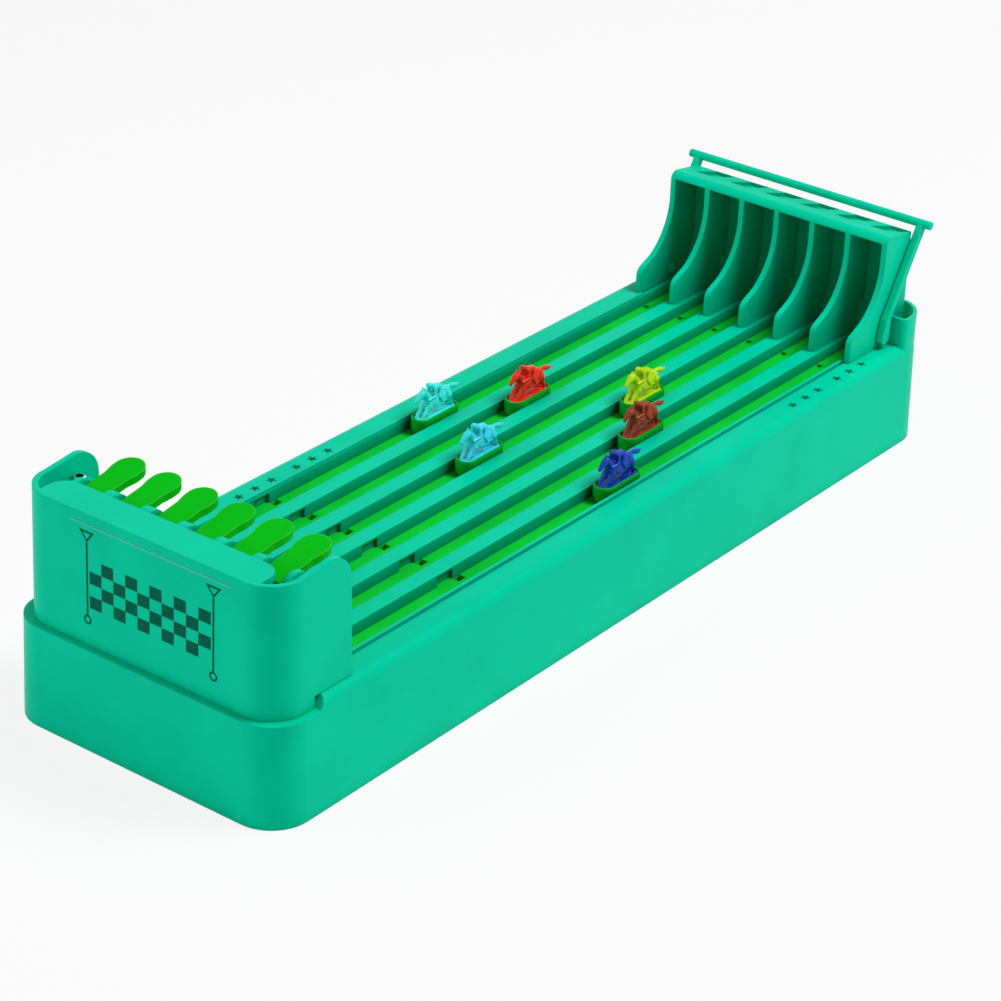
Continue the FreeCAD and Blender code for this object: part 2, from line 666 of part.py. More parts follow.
# ---------------------------------------------------------------- finish cap
def make_cap():
    body = new_body("finish_cap")
    over = dim["wall"] * 2
    radius = dim["cap_radius"]
    height = dim["cap_rise"] + dim["side_rise"]
    top = shelf + height
    front_top = shelf + dim["cap_rise"]
    long_rear = cap_rear + over
    outline = [(-cap_half, cap_front + radius, radius), (radius - cap_half, cap_front),
               (cap_half - radius, cap_front, radius), (cap_half, cap_front + radius),
               (cap_half, long_rear), (-cap_half, long_rear)]
    prism(body, "walls", "XY_Plane", [outline], shelf, top, taper=(dim["cap_lean"], height))
    prism(body, "top_profile", "YZ_Plane", [[
        (cap_front - over, front_top), (cap_front + radius, front_top),
        (cap_rear - dim["cap_round"], top, -dim["cap_round"]),
        (cap_rear, top - dim["cap_round"]), (cap_rear, shelf - over),
        (long_rear + over, shelf - over), (long_rear + over, top + over),
        (cap_front - over, top + over)]], -half_width, half_width, cut=True)
    inner = radius - dim["cap_lean"] - dim["cap_wall"]
    hollow = [(-cap_inner_half, cap_inner_front + inner, inner),
              (inner - cap_inner_half, cap_inner_front),
              (cap_inner_half - inner, cap_inner_front, inner),
              (cap_inner_half, cap_inner_front + inner),
              (cap_inner_half, long_rear + over), (-cap_inner_half, long_rear + over)]
    prism(body, "hollow", "XY_Plane", [hollow], shelf, top + over, cut=True)
    prism(body, "deck_step", "YZ_Plane", [
        box_outline(ramp_foot, cap_rear + over, shelf - over, deck)],
        -half_width, half_width, cut=True)
    shelf_rear = cap_front + dim["cap_lean"] + dim["top_depth"]
    bend = dim["top_depth"] / 2
    half = cap_inner_half - dim["top_pocket"]
    top_outline = [(-half, cap_inner_front - dim["fit"]), (half, cap_inner_front - dim["fit"]),
                   (half, shelf_rear - bend, bend), (half - bend, shelf_rear),
                   (bend - half, shelf_rear, bend), (-half, shelf_rear - bend)]
    prism(body, "top_shelf", "XY_Plane", [top_outline],
          front_top - dim["top_thickness"], front_top)
    column = dim["column_diameter"] / 2
    columns = [(side * column_x, column_y) for side in (-1, 1)]
    bosses = [(side * front_boss_x, front_boss_y) for side in (-1, 1)]
    column_top = shelf + dim["column_rise"]
    rounds(body, "columns", "XY_Plane", [spot + (column,) for spot in columns],
           deck, column_top)
    rounds(body, "bosses", "XY_Plane", [spot + (column,) for spot in bosses],
           shelf, shelf + dim["boss_rise"])
    depth = dim["hole_depth"]
    rounds(body, "column_holes", "XY_Plane", [spot + (hole_radius,) for spot in columns],
           deck, deck + depth, cut=True)
    rounds(body, "boss_holes", "XY_Plane", [spot + (hole_radius,) for spot in bosses],
           shelf, shelf + depth, cut=True)
    rounds(body, "carrier_holes", "XY_Plane", [spot + (hole_radius,) for spot in columns],
           column_top - depth, column_top, cut=True)
    return body


# ---------------------------------------------------------------- levers and carrier
stop_y = axle_y + dim["leg_face"] + dim["fit"]
stop_end = stop_y + dim["cross_bar"]
stop_z = deck + dim["stop_rise"]
carrier_back = near_end + dim["carrier_back"]
spring_y = axle_y - dim["spring_place"]


def make_carrier():
    body = new_body("lever_carrier")
    radius = dim["lug_radius"]
    lug = [(carrier_back, shelf), (ramp_foot - dim["fit"], shelf),
           (ramp_top, deck + dim["fit"] * 3), (stop_end, stop_z - dim["fit"]),
           (stop_end, stop_z + dim["cross_bar"]), (axle_y + radius, axle_z, radius),
           (axle_y - radius, axle_z), (carrier_back, dim["anchor_height"])]
    half = (lever_pitch - dim["neck_width"]) / 2 - dim["lever_gap"]
    for index in range(1, LANES):
        middle = (lever_x(index - 1) + lever_x(index)) / 2
        prism(body, f"lug_{index}", "YZ_Plane", [lug], middle - half, middle + half)
    prism(body, "left_lug", "YZ_Plane", [lug], -lug_outer, -lug_inner)
    prism(body, "right_lug", "YZ_Plane", [lug], lug_inner, lug_outer)
    bar = dim["cross_bar"]
    anchor_end = spring_y + dim["anchor_depth"] / 2
    prism(body, "stop_bar", "YZ_Plane",
          [box_outline(stop_y, stop_end, stop_z, stop_z + bar)], -lug_outer, lug_outer)
    prism(body, "anchor_bar", "YZ_Plane",
          [box_outline(carrier_back, anchor_end, dim["anchor_height"] - bar,
                       dim["anchor_height"])], -lug_outer, lug_outer)
    prism(body, "back", "YZ_Plane",
          [box_outline(carrier_back, carrier_back + dim["cap_wall"],
                       shelf + dim["boss_rise"] + dim["fit"], dim["anchor_height"])],
          -lug_outer, lug_outer)
    ear_base = shelf + dim["column_rise"]
    ear_outer = cap_inner_half - dim["fit"]
    depth = dim["column_diameter"] / 2 + dim["fit"]
    ears = [box_outline(lug_outer - dim["fit"], ear_outer, column_y - depth, column_y + depth),
            box_outline(-ear_outer, dim["fit"] - lug_outer, column_y - depth, column_y + depth)]
    prism(body, "ears", "XY_Plane", ears, ear_base, ear_base + dim["ear_thickness"])
    spots = [(side * column_x, column_y, hole_radius) for side in (-1, 1)]
    rounds(body, "ear_holes", "XY_Plane", spots, ear_base,
           ear_base + dim["ear_thickness"], cut=True)
    rounds(body, "axle_bores", "YZ_Plane",
           [(axle_y, axle_z, dim["axle_diameter"] / 2 + dim["screw_fit"] / 2)],
           -lug_outer, lug_outer, cut=True)
    return body


def make_axle():
    axle = doc.addObject("Part::Cylinder", "lever_axle")
    axle.Label = "lever_axle"
    length = lug_outer * 2
    axle.setExpression("Radius", (dim["axle_diameter"] / 2).formula)
    axle.setExpression("Height", length.formula)
    axle.Placement = FreeCAD.Placement(
        FreeCAD.Vector(), FreeCAD.Rotation(FreeCAD.Vector(0, 1, 0), 90))
    move(axle, -lug_outer, axle_y, axle_z)
    nodes.append(axle)


def make_lever(lane):
    body = new_body(f"lever_{lane + 1}")
    tip = dim["tip_diameter"] / 2
    neck = dim["neck_width"] / 2
    reach = dim["tip_reach"]
    hub = dim["hub_diameter"] / 2
    rear = -hub - dim["fit"] * 4
    slope = dim["paddle_slope"]
    thick = dim["paddle_thickness"]
    end = reach + tip
    narrow = dim["neck_reach"]
    wide = dim["shoulder_reach"]
    paddle = [(neck, rear), (neck, narrow), (tip, wide), (tip, reach, tip),
              (-tip, reach), (-tip, wide), (-neck, narrow), (-neck, rear)]
    prism(body, "paddle", "XY_Plane", [paddle], -hub, end)
    over = thick * 2
    top_rear = dim["paddle_rise"] + slope * (rear - over)
    top_end = dim["paddle_rise"] + slope * (end + over)
    prism(body, "paddle_top", "YZ_Plane", [[
        (rear - over, top_rear), (end + over, top_end),
        (end + over, end + over), (rear - over, end + over)]], -end, end, cut=True)
    prism(body, "paddle_under", "YZ_Plane", [[
        (rear - over, -end), (end + over, -end),
        (end + over, top_end - thick), (rear - over, top_rear - thick)]],
        -end, end, cut=True)
    prism(body, "hub", "YZ_Plane", [disc_outline(0, 0, hub)], -neck, neck)
    tail_top = dim["axle_diameter"] / 2 - dim["fit"] * 2
    prism(body, "tail", "YZ_Plane", [
        box_outline(-dim["tail_length"], -hub / 2, tail_top - thick, tail_top)],
        -dim["tail_width"] / 2, dim["tail_width"] / 2)
    face = dim["leg_face"]
    bottom = shelf + dim["leg_gap"] - axle_z
    knee = bottom / 2
    leg_x = lane_x(lane) - lever_x(lane)
    prism(body, "leg", "YZ_Plane", [[
        (0, 0), (face - thick, knee), (face - thick, bottom), (face, bottom),
        (face, knee), (dim["leg_thickness"], 0)]],
        leg_x - dim["leg_width"] / 2, leg_x + dim["leg_width"] / 2)
    rounds(body, "bore", "YZ_Plane", [(0, 0, dim["axle_diameter"] / 2 + dim["axle_fit"])],
           -neck, neck, cut=True)
    move(body, lever_x(lane), axle_y, axle_z)


def make_spring(lane):
    """The closely wound coil as one sleeve of its wire's thickness."""
    name = f"lever_spring_{lane + 1}"
    tail_under = axle_z + dim["axle_diameter"] / 2 - dim["fit"] * 2 - dim["paddle_thickness"]
    height = tail_under - dim["fit"] - dim["anchor_height"]
    radius = dim["spring_diameter"] / 2
    tubes = []
    for part, size in (("outer", radius), ("inner", radius - dim["spring_wire"])):
        tube = doc.addObject("Part::Cylinder", f"{name}_{part}")
        tube.setExpression("Radius", size.formula)
        tube.setExpression("Height", height.formula)
        move(tube, lever_x(lane), spring_y, dim["anchor_height"])
        tubes.append(tube)
    coil = doc.addObject("Part::Cut", name)
    coil.Base, coil.Tool = tubes
    coil.Label = name
    nodes.append(coil)


def make_ball(lane):
    ball = doc.addObject("Part::Sphere", f"ball_{lane + 1}")
    ball.Label = f"ball_{lane + 1}"
    radius = dim["ball_diameter"] / 2
    ball.setExpression("Radius", radius.formula)
    rest = axle_y + dim["leg_face"] + dim["fit"] + radius
    move(ball, lane_x(lane), rest, floor + dim["running_gap"] + radius)
    nodes.append(ball)


# ---------------------------------------------------------------- hood and bail
bail_y = hood_rear - dim["bail_pivot_place"]
bail_z = deck + dim["bail_pivot_rise"]
arm_inner = hood_half + dim["arm_gap"]
arm_outer = arm_inner + dim["arm_thickness"]


def make_hood():
    body = new_body("start_hood")
    over = dim["wall"] * 4
    front = hood_front
    foot_top = deck + dim["front_foot_rise"]
    corner = dim["front_foot_radius"]
    corner_run = dim["front_foot_corner"]
    corner_z = foot_top - across(corner, corner - corner_run)
    roof_y = front + dim["roof_front"]
    sweep = dim["front_sweep"]
    sweep_y = front + dim["front_foot_depth"]
    sweep_z = foot_top + dim["front_foot_slope"]
    sweep_top = sweep_z + across(sweep, sweep - roof_y + sweep_y)
    crown = hood_top + dim["roof_crown"]
    brow = dim["brow_radius"]
    prism(body, "profile", "YZ_Plane", [[
        (front, deck), (hood_rear, deck), (hood_rear, hood_top), (roof_y + brow, crown, brow),
        (roof_y, crown - brow), (roof_y, sweep_top, -sweep), (sweep_y, sweep_z),
        (front + corner_run, foot_top, corner), (front, corner_z)]],
        -hood_half, hood_half)
    inner_y = hood_rear - dim["shell"]
    knee = deck + dim["back_knee"]
    curve_y = inner_y - dim["back_radius"]
    low = floor + dim["fit"]
    toe_y = curve_y + across(dim["back_radius"], knee - low)
    tongue_rear = lane_stop - dim["fit"]
    tongue_half = lane_width / 2 - dim["fit"]
    tongues = [box_outline(lane_x(lane) - tongue_half, lane_x(lane) + tongue_half,
                           toe_y, tongue_rear) for lane in range(LANES)]
    prism(body, "tongues", "XY_Plane", tongues, low, deck)
    under_roof = hood_top - dim["roof"]
    bay = [(front - over, low), (toe_y, low, dim["back_radius"]), (inner_y, knee),
           (inner_y, under_roof), (roof_y, under_roof + dim["roof_crown"]),
           (front - over, under_roof + dim["roof_crown"])]
    bay_half = (lane_pitch - dim["divider"]) / 2
    for lane in range(LANES):
        prism(body, f"bay_{lane + 1}", "YZ_Plane", [bay],
              lane_x(lane) - bay_half, lane_x(lane) + bay_half, cut=True)
    outer_radius = dim["back_radius"] + dim["shell"]
    hollow = [(curve_y + across(outer_radius, dim["back_knee"]), deck),
              (hood_rear + over, deck), (hood_rear + over, knee),
              (hood_rear, knee, -outer_radius)]
    prism(body, "back_hollow", "YZ_Plane", [hollow],
          dim["divider"] - hood_half, hood_half - dim["divider"], cut=True)
    recess_y = hood_rear - dim["fit"] * 2
    slant = dim["recess_slant"]
    recesses = []
    for lane in range(LANES):
        left = lane_x(lane) - dim["recess_width"] / 2 + dim["recess_offset"]
        right = left + dim["recess_width"]
        recesses.append([(left, recess_y - dim["recess_length"]),
                         (right, recess_y - dim["recess_length"]),
                         (right + slant, recess_y), (left + slant, recess_y)])
    prism(body, "recesses", "XY_Plane", recesses,
          hood_top - dim["recess_depth"], crown + over, cut=True)
    rounds(body, "bosses", "XY_Plane", hood_screw_spots(dim["hood_boss_diameter"] / 2),
           deck, deck + dim["hood_boss_rise"])
    rounds(body, "boss_holes", "XY_Plane", hood_screw_spots(hole_radius),
           deck, deck + dim["hole_depth"], cut=True)
    pin = dim["pin_diameter"] / 2 + dim["pin_fit"]
    for name, start in (("left", -hood_half), ("right", hood_half - dim["divider"])):
        rounds(body, f"{name}_pin_hole", "YZ_Plane", [(bail_y, bail_z, pin)],
               start, start + dim["divider"], cut=True)
    return body


def make_bail():
    body = new_body("rear_bail")
    knee_y = hood_rear - dim["bail_knee_place"] - bail_y
    knee_z = deck + dim["bail_knee_rise"] - bail_z
    bar_y = hood_rear + dim["bail_bar_place"] - bail_y
    bar_z = hood_top + dim["bail_bar_rise"] - bail_z
    bar_half = arm_outer + dim["bail_bar_end"]
    eye = dim["bail_eye"] / 2
    half = dim["arm_width"] / 2
    arm = [(-eye, 0, eye), (eye, 0), (knee_y + half, knee_z), (bar_y + half, bar_z),
           (bar_y - half, bar_z), (knee_y - half, knee_z)]
    for name, start in (("left_arm", -arm_outer), ("right_arm", arm_inner)):
        prism(body, name, "YZ_Plane", [arm], start, start + dim["arm_thickness"])
    rounds(body, "crossbar", "YZ_Plane", [(bar_y, bar_z, dim["bail_bar_diameter"] / 2)],
           -bar_half, bar_half)
    rounds(body, "eyes", "YZ_Plane", [(0, 0, dim["pin_diameter"] / 2 + dim["axle_fit"])],
           -arm_outer, arm_outer, cut=True)
    move(body, 0, bail_y, bail_z)


# ---------------------------------------------------------------- horses
def make_cup(label):
    body = new_body(label)
    half = dim["cup_width"] / 2
    length = dim["cup_length"] / 2
    wall = dim["cup_wall"]
    prism(body, "cup", "XY_Plane", [pill(-length, length, half)], 0, dim["cup_height"])
    prism(body, "hollow", "XY_Plane", [pill(wall - length, length - wall, half - wall)],
          dim["cup_floor"], dim["cup_height"], cut=True)
    return body


def place_horse(body, lane):
    """Stand a body at its horse's place in its lane."""
    move(body, lane_x(lane), near_end + HORSE_PLACES[lane], floor + dim["running_gap"])


# The galloping horse and its rider as round-ended limbs seen from the side. Each row has a
# name, the two ends as (along, up, radius) with the nose towards the finish, and the limb's
# inner and outer side from the middle. A limb with inner side 0 is single, any other is a pair.
FIGURE_CUP = 25.0
LIMBS = [
    ("barrel", (-4.6, 11.6, 2.7), (6.4, 11.9, 2.8), 0.0, 2.4),
    ("neck", (-5.6, 12.6, 2.2), (-8.0, 16.2, 1.3), 0.0, 1.5),
    ("head", (-8.2, 16.1, 1.4), (-11.8, 13.7, 0.7), 0.0, 1.2),
    ("ear", (-7.7, 16.9, 0.6), (-7.6, 18.2, 0.25), 0.0, 0.8),
    ("tail", (8.4, 13.3, 0.9), (12.6, 12.9, 1.0), 0.0, 0.8),
    ("tail_end", (12.6, 12.9, 1.0), (14.7, 12.7, 0.3), 0.0, 0.6),
    ("forearm", (-6.0, 10.5, 1.7), (-8.4, 7.9, 0.95), 0.5, 1.9),
    ("fore_hoof", (-8.4, 7.9, 0.95), (-9.7, 6.6, 0.75), 0.5, 1.8),
    ("haunch", (7.2, 11.1, 2.0), (7.8, 8.6, 1.1), 0.5, 2.0),
    ("hind_hoof", (7.8, 8.6, 1.1), (9.7, 6.6, 0.75), 0.5, 1.8),
    ("rider_head", (-3.7, 18.3, 1.4), (-4.4, 18.2, 1.2), 0.0, 1.3),
    ("rider_back", (-2.2, 17.0, 1.3), (2.4, 16.0, 1.5), 0.0, 1.5),
    ("upper_arm", (-2.0, 16.6, 0.8), (-4.2, 14.1, 0.6), 0.9, 2.0),
    ("lower_arm", (-4.2, 14.1, 0.6), (-6.2, 13.8, 0.5), 0.7, 1.9),
    ("thigh", (2.2, 15.0, 1.1), (0.2, 12.9, 0.9), 1.0, 2.8),
    ("shin", (0.2, 12.9, 0.9), (1.2, 10.0, 0.65), 2.0, 3.0),
]


def limb_outline(start, end, unit):
    """Two circles and the lines that touch both, as one outline."""
    along = math.atan2(end[1] - start[1], end[0] - start[0])
    span = math.hypot(end[0] - start[0], end[1] - start[1])
    touch = math.acos((start[2] - end[2]) / span)

    def spot(ball, angle):
        return (unit * (ball[0] + ball[2] * math.cos(angle)),
                unit * (ball[1] + ball[2] * math.sin(angle)))

    return [spot(start, along + touch) + (unit * start[2],),
            spot(start, along + math.pi) + (unit * start[2],),
            spot(start, along - touch),
            spot(end, along - touch) + (unit * end[2],),
            spot(end, along) + (unit * end[2],),
            spot(end, along + touch)]


def make_figure(label):
    """A horse and rider on the bar that stands in the cup."""
    body = new_body(label)
    half = dim["plinth_thickness"] / 2
    length = dim["cup_length"] / 2 - dim["cup_wall"] - dim["fit"]
    base = dim["cup_floor"]
    top = dim["plinth_height"] + dim["cup_wall"]
    shoulder = length - half
    prism(body, "plinth", "YZ_Plane", [[
        (-shoulder, base), (shoulder, base), (shoulder, dim["plinth_height"]),
        (shoulder - half, top), (half - shoulder, top), (-shoulder, dim["plinth_height"])]],
        -half, half)
    unit = dim["cup_length"] / FIGURE_CUP
    for name, start, end, inner, outer in LIMBS:
        outline = limb_outline(start, end, unit)
        if inner == 0:
            prism(body, name, "YZ_Plane", [outline], -outer * unit, outer * unit)
            continue
        prism(body, f"right_{name}", "YZ_Plane", [outline], inner * unit, outer * unit)
        prism(body, f"left_{name}", "YZ_Plane", [outline], -outer * unit, -inner * unit)
    return body


def make_horses():
    """The cups and figures: one of each is drawn, and the other lanes repeat it."""
    cup = make_cup("horse_base_1")
    figure = make_figure("horse_1")
    place_horse(cup, 0)
    place_horse(figure, 0)
    for lane in range(1, LANES):
        place_horse(repeat_body(f"horse_base_{lane + 1}", cup), lane)
        place_horse(repeat_body(f"horse_{lane + 1}", figure), lane)


# ---------------------------------------------------------------- screws and pins
def make_rods(label, rods):
    """A group of headed rods, as (base point, axis, shank radius and length, head radius
    and height): the head starts at the base point, and the shank goes on from it."""
    pieces = []
    for number, (base, axis, shank_radius, shank_length, head_radius, head) in enumerate(rods, 1):
        turn = FreeCAD.Rotation(FreeCAD.Vector(0, 0, 1), FreeCAD.Vector(*axis))
        rod_parts = []
        for part, radius, height, offset in (
                ("head", head_radius, head, 0), ("shank", shank_radius, shank_length, head)):
            rod = doc.addObject("Part::Cylinder", f"{label}_{part}_{number}")
            rod.setExpression("Radius", as_size(radius).formula)
            rod.setExpression("Height", as_size(height).formula)
            rod.Placement = FreeCAD.Placement(FreeCAD.Vector(), turn)
            move(rod, *[place + offset * along for place, along in zip(base, axis)])
            rod_parts.append(rod)
        joined = doc.addObject("Part::MultiFuse", f"{label}_{number}")
        joined.Shapes = rod_parts
        pieces.append(joined)
    group = doc.addObject("Part::Compound", label)
    group.Label = label
    group.Links = pieces
    nodes.append(group)


def make_screws():
    up, down = (0, 0, 1), (0, 0, -1)
    core = dim["screw_core"] / 2
    head = dim["screw_head"] / 2
    tall = dim["head_height"]
    bite = dim["hole_depth"] - dim["fit"]
    posts = [(side * post_x, y) for side in (-1, 1) for y in cover_lines]
    make_rods("cover_screws", [
        ((x, y, 0), up, core, dim["plate"] - tall + bite, head, tall) for x, y in posts])
    plate_base = floor - dim["plate"]
    lane_shank = dim["plate"] + dim["foot_thickness"] + dim["wall"] - dim["fit"]
    make_rods("lane_screws", [
        ((side * post_x, y, plate_base - tall), up, core, lane_shank, head, tall)
        for side in (-1, 1) for y in screw_lines])
    make_rods("hood_screws", [
        ((x, y, floor - tall), up, core, dim["lane_depth"] + bite, head, tall)
        for x, y, _ in hood_screw_spots(core)])
    cap = []
    for side in (-1, 1):
        cap.append(((side * column_x, column_y, under_deck - tall), up, core,
                    dim["wall"] + bite, head, tall))
        cap.append(((side * front_boss_x, front_boss_y, under_shelf - tall), up,
                    core, dim["wall"] + bite, head, tall))
    make_rods("cap_screws", cap)
    ear_top = shelf + dim["column_rise"] + dim["ear_thickness"]
    make_rods("carrier_screws", [
        ((side * column_x, column_y, ear_top + tall), down, core,
         dim["ear_thickness"] + bite, head, tall) for side in (-1, 1)])
    pins = []
    for side in (-1, 1):
        wall_x = hood_half - dim["divider"]
        head_x = wall_x - dim["pin_head_height"]
        pins.append(((side * head_x, bail_y, bail_z), (side, 0, 0), dim["pin_diameter"] / 2,
                     arm_outer - wall_x, dim["pin_head"] / 2, dim["pin_head_height"]))
    make_rods("bail_pins", pins)


# ---------------------------------------------------------------- the whole toy
def build():
    make_housing()
    make_lane_frame()
    make_lane_plate()
    make_bottom_cover()
    make_cap()
    make_carrier()
    make_axle()
    for lane in range(LANES):
        make_lever(lane)
        make_spring(lane)
        make_ball(lane)
    make_horses()
    make_hood()
    make_bail()
    make_screws()


def check_and_write():
    """Stop at any failed object or bad shape, then write one file for each node."""
    doc.recompute()
    failed = [item.Name for item in doc.Objects
              if "Invalid" in item.State or "Error" in item.State]
    if failed:
        raise RuntimeError(f"failed objects: {failed}")
    for node in nodes:
        if node.Shape.isNull() or not node.Shape.isValid():
            raise RuntimeError(f"{node.Label} has no valid shape")
    os.makedirs("parts", exist_ok=True)
    for node in nodes:
        node.Shape.exportStep(os.path.join("parts", f"{node.Label}.step"))
        box = node.Shape.BoundBox
        print(f"{node.Label}: {len(node.Shape.Solids)} solids, {node.Shape.Volume:.0f} mm3, "
              f"z {box.ZMin:.2f} to {box.ZMax:.2f}")


build()
check_and_write()
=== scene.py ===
import math

import bpy
import bmesh
from mathutils import Matrix, Vector


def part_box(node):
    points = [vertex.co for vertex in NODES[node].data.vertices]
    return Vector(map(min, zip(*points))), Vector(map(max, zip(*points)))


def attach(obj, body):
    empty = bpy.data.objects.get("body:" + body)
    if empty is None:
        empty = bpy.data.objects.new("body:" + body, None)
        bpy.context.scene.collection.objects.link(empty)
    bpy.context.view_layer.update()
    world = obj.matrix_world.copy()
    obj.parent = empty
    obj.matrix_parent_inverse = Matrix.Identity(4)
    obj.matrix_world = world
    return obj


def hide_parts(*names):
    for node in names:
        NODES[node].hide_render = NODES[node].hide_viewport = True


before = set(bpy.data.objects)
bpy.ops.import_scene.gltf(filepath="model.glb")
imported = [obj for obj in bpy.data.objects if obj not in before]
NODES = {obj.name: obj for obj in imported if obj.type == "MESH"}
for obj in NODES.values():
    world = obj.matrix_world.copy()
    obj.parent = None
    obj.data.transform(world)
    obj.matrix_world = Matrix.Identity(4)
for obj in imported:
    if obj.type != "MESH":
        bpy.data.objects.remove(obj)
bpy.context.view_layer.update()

LANES = range(1, 7)
MM = 0.001


# ---------------------------------------------------------------- shader helpers
def links(tree, *pairs):
    """Join each output to its input."""
    for start, end in pairs:
        tree.links.new(start, end)


def new_material(name, specular=None):
    """A material, with its node tree, its shader and the place on the object in metres."""
    material = bpy.data.materials.new(name)
    material.use_nodes = True
    tree = material.node_tree
    shader = tree.nodes["Principled BSDF"]
    if specular is not None:
        shader.inputs["Specular IOR Level"].default_value = specular
    return material, tree, shader, tree.nodes.new("ShaderNodeTexCoord").outputs["Object"]


def noise(tree, place, scale, detail):
    """A grey noise over the object's own metres."""
    texture = tree.nodes.new("ShaderNodeTexNoise")
    texture.inputs["Scale"].default_value = scale
    texture.inputs["Detail"].default_value = detail
    links(tree, (place, texture.inputs["Vector"]))
    return texture.outputs["Fac"]


def spread(tree, source, low, high, found=(0.0, 1.0)):
    """A grey value between the two found numbers, spread from low to high."""
    span = tree.nodes.new("ShaderNodeMapRange")
    span.inputs["From Min"].default_value, span.inputs["From Max"].default_value = found
    span.inputs["To Min"].default_value = low
    span.inputs["To Max"].default_value = high
    links(tree, (source, span.inputs["Value"]))
    return span.outputs["Result"]


def colour_ramp(tree, source, positions, colours):
    """Two colours at two positions, chosen by a grey value."""
    ramp = tree.nodes.new("ShaderNodeValToRGB")
    for element, position, colour in zip(ramp.color_ramp.elements, positions, colours):
        element.position = position
        element.color = (*colour, 1.0)
    links(tree, (source, ramp.inputs["Fac"]))
    return ramp.outputs["Color"]


def towards(tree, share, colour, target):
    """A colour moved towards a fixed one by a share."""
    mix = tree.nodes.new("ShaderNodeMix")
    mix.data_type = "RGBA"
    mix.inputs["B"].default_value = (*target, 1.0)
    links(tree, (share, mix.inputs["Factor"]), (colour, mix.inputs["A"]))
    return mix.outputs["Result"]


def bump(tree, shader, height, strength, distance):
    """Fine relief on a shader. The input for the normal below the relief comes back."""
    relief = tree.nodes.new("ShaderNodeBump")
    relief.inputs["Strength"].default_value = strength
    relief.inputs["Distance"].default_value = distance
    links(tree,
          (height, relief.inputs["Height"]),
          (relief.outputs["Normal"], shader.inputs["Normal"]))
    return relief.inputs["Normal"]


def scaled(colour, factor):
    """A colour times a factor, at most 1."""
    return [min(1.0, channel * factor) for channel in colour]


# ---------------------------------------------------------------- plastics
# A noise is its scale, which counts per metre, and its detail.
FLOW_NOISE = (38.0, 3.0)
FLOW_POSITIONS = (0.3, 0.7)
GLOSS_NOISE = (160.0, 4.0)
SMOOTHER, ROUGHER = 0.05, 0.07
GRAIN_NOISE = (1500.0, 2.0)
GRAIN_STRENGTH = 0.05
GRAIN_DEPTH = 0.2 * MM
EDGE_SAMPLES = 6
EDGE_TURN = (1.0, 0.8)  # cosines of the turn at which the painted highlight on edges begins and is full
DARK_CHANNEL = 0.2  # painted highlight: a darker channel is lifted by a step, and a brighter one by a share
DARK_LIFT = 0.03
BRIGHT_LIFT = 0.4
# painted shade in inner corners, found by ambient occlusion
CORNER_SAMPLES = 4
CORNER_OPENNESS = (0.35, 0.85)  # open shares at which the painted shade in corners is full and ends
CORNER_SHADE_DEPTH = 0.12


def rounded_normal(tree, rounding):
    """The surface's normal with its edges rounded over a radius."""
    rounded = tree.nodes.new("ShaderNodeBevel")
    rounded.samples = EDGE_SAMPLES
    rounded.inputs["Radius"].default_value = rounding
    return rounded.outputs["Normal"]


def painted_edge_highlight(tree, normal, edge_highlight):
    """Painted highlight: 0 on flat faces, up to its share where the rounded normal leaves the
    face.
    """
    flat = tree.nodes.new("ShaderNodeNewGeometry")
    turn = tree.nodes.new("ShaderNodeVectorMath")
    turn.operation = "DOT_PRODUCT"
    links(tree, (normal, turn.inputs[0]), (flat.outputs["Normal"], turn.inputs[1]))
    return spread(tree, turn.outputs["Value"], 0.0, edge_highlight, EDGE_TURN)


def painted_corner_shade(tree, corner_shade, reach):
    """Painted shade: up to its share in inner corners, where walls close in within reach, else 0.
    """
    hollow = tree.nodes.new("ShaderNodeAmbientOcclusion")
    hollow.samples = CORNER_SAMPLES
    hollow.inputs["Distance"].default_value = reach
    return spread(tree, hollow.outputs["AO"], corner_shade, 0.0, CORNER_OPENNESS)


def painted_highlight_colour(colour):
    """The painted highlight colour for edges, paler than the plastic's own colour."""
    return [channel + (1.0 - channel) * BRIGHT_LIFT if channel > DARK_CHANNEL
            else channel + DARK_LIFT for channel in colour]


def plastic(name, colour, roughness=0.32, specular=0.025, tint=0.05, edge_highlight=0.3,
            edge_highlight_colour=None, rounding=0.6 * MM, corner_shade=0.35, corner_reach=5.0 * MM):
    """Moulded plastic: faint flow of colour, uneven gloss, fine grain, slightly rounded
    edges with a painted highlight, and painted shade in inner corners."""
    material, tree, shader, place = new_material(name, specular)
    normal = rounded_normal(tree, rounding)
    flow = colour_ramp(tree, noise(tree, place, *FLOW_NOISE), FLOW_POSITIONS,
                       (scaled(colour, 1 - tint), scaled(colour, 1 + tint)))
    # painted highlight: the colour made paler on the rounded edges
    edge_highlighted = towards(tree, painted_edge_highlight(tree, normal, edge_highlight), flow,
                      edge_highlight_colour or painted_highlight_colour(colour))
    # painted shade: the colour darkened in inner corners
    corner_shaded = towards(tree, painted_corner_shade(tree, corner_shade, corner_reach), edge_highlighted,
                     scaled(colour, CORNER_SHADE_DEPTH))
    gloss = spread(tree, noise(tree, place, *GLOSS_NOISE),
                   roughness - SMOOTHER, roughness + ROUGHER)
    below = bump(tree, shader, noise(tree, place, *GRAIN_NOISE), GRAIN_STRENGTH, GRAIN_DEPTH)
    links(tree,
          (corner_shaded, shader.inputs["Base Color"]),
          (gloss, shader.inputs["Roughness"]),
          (normal, below))
    return material


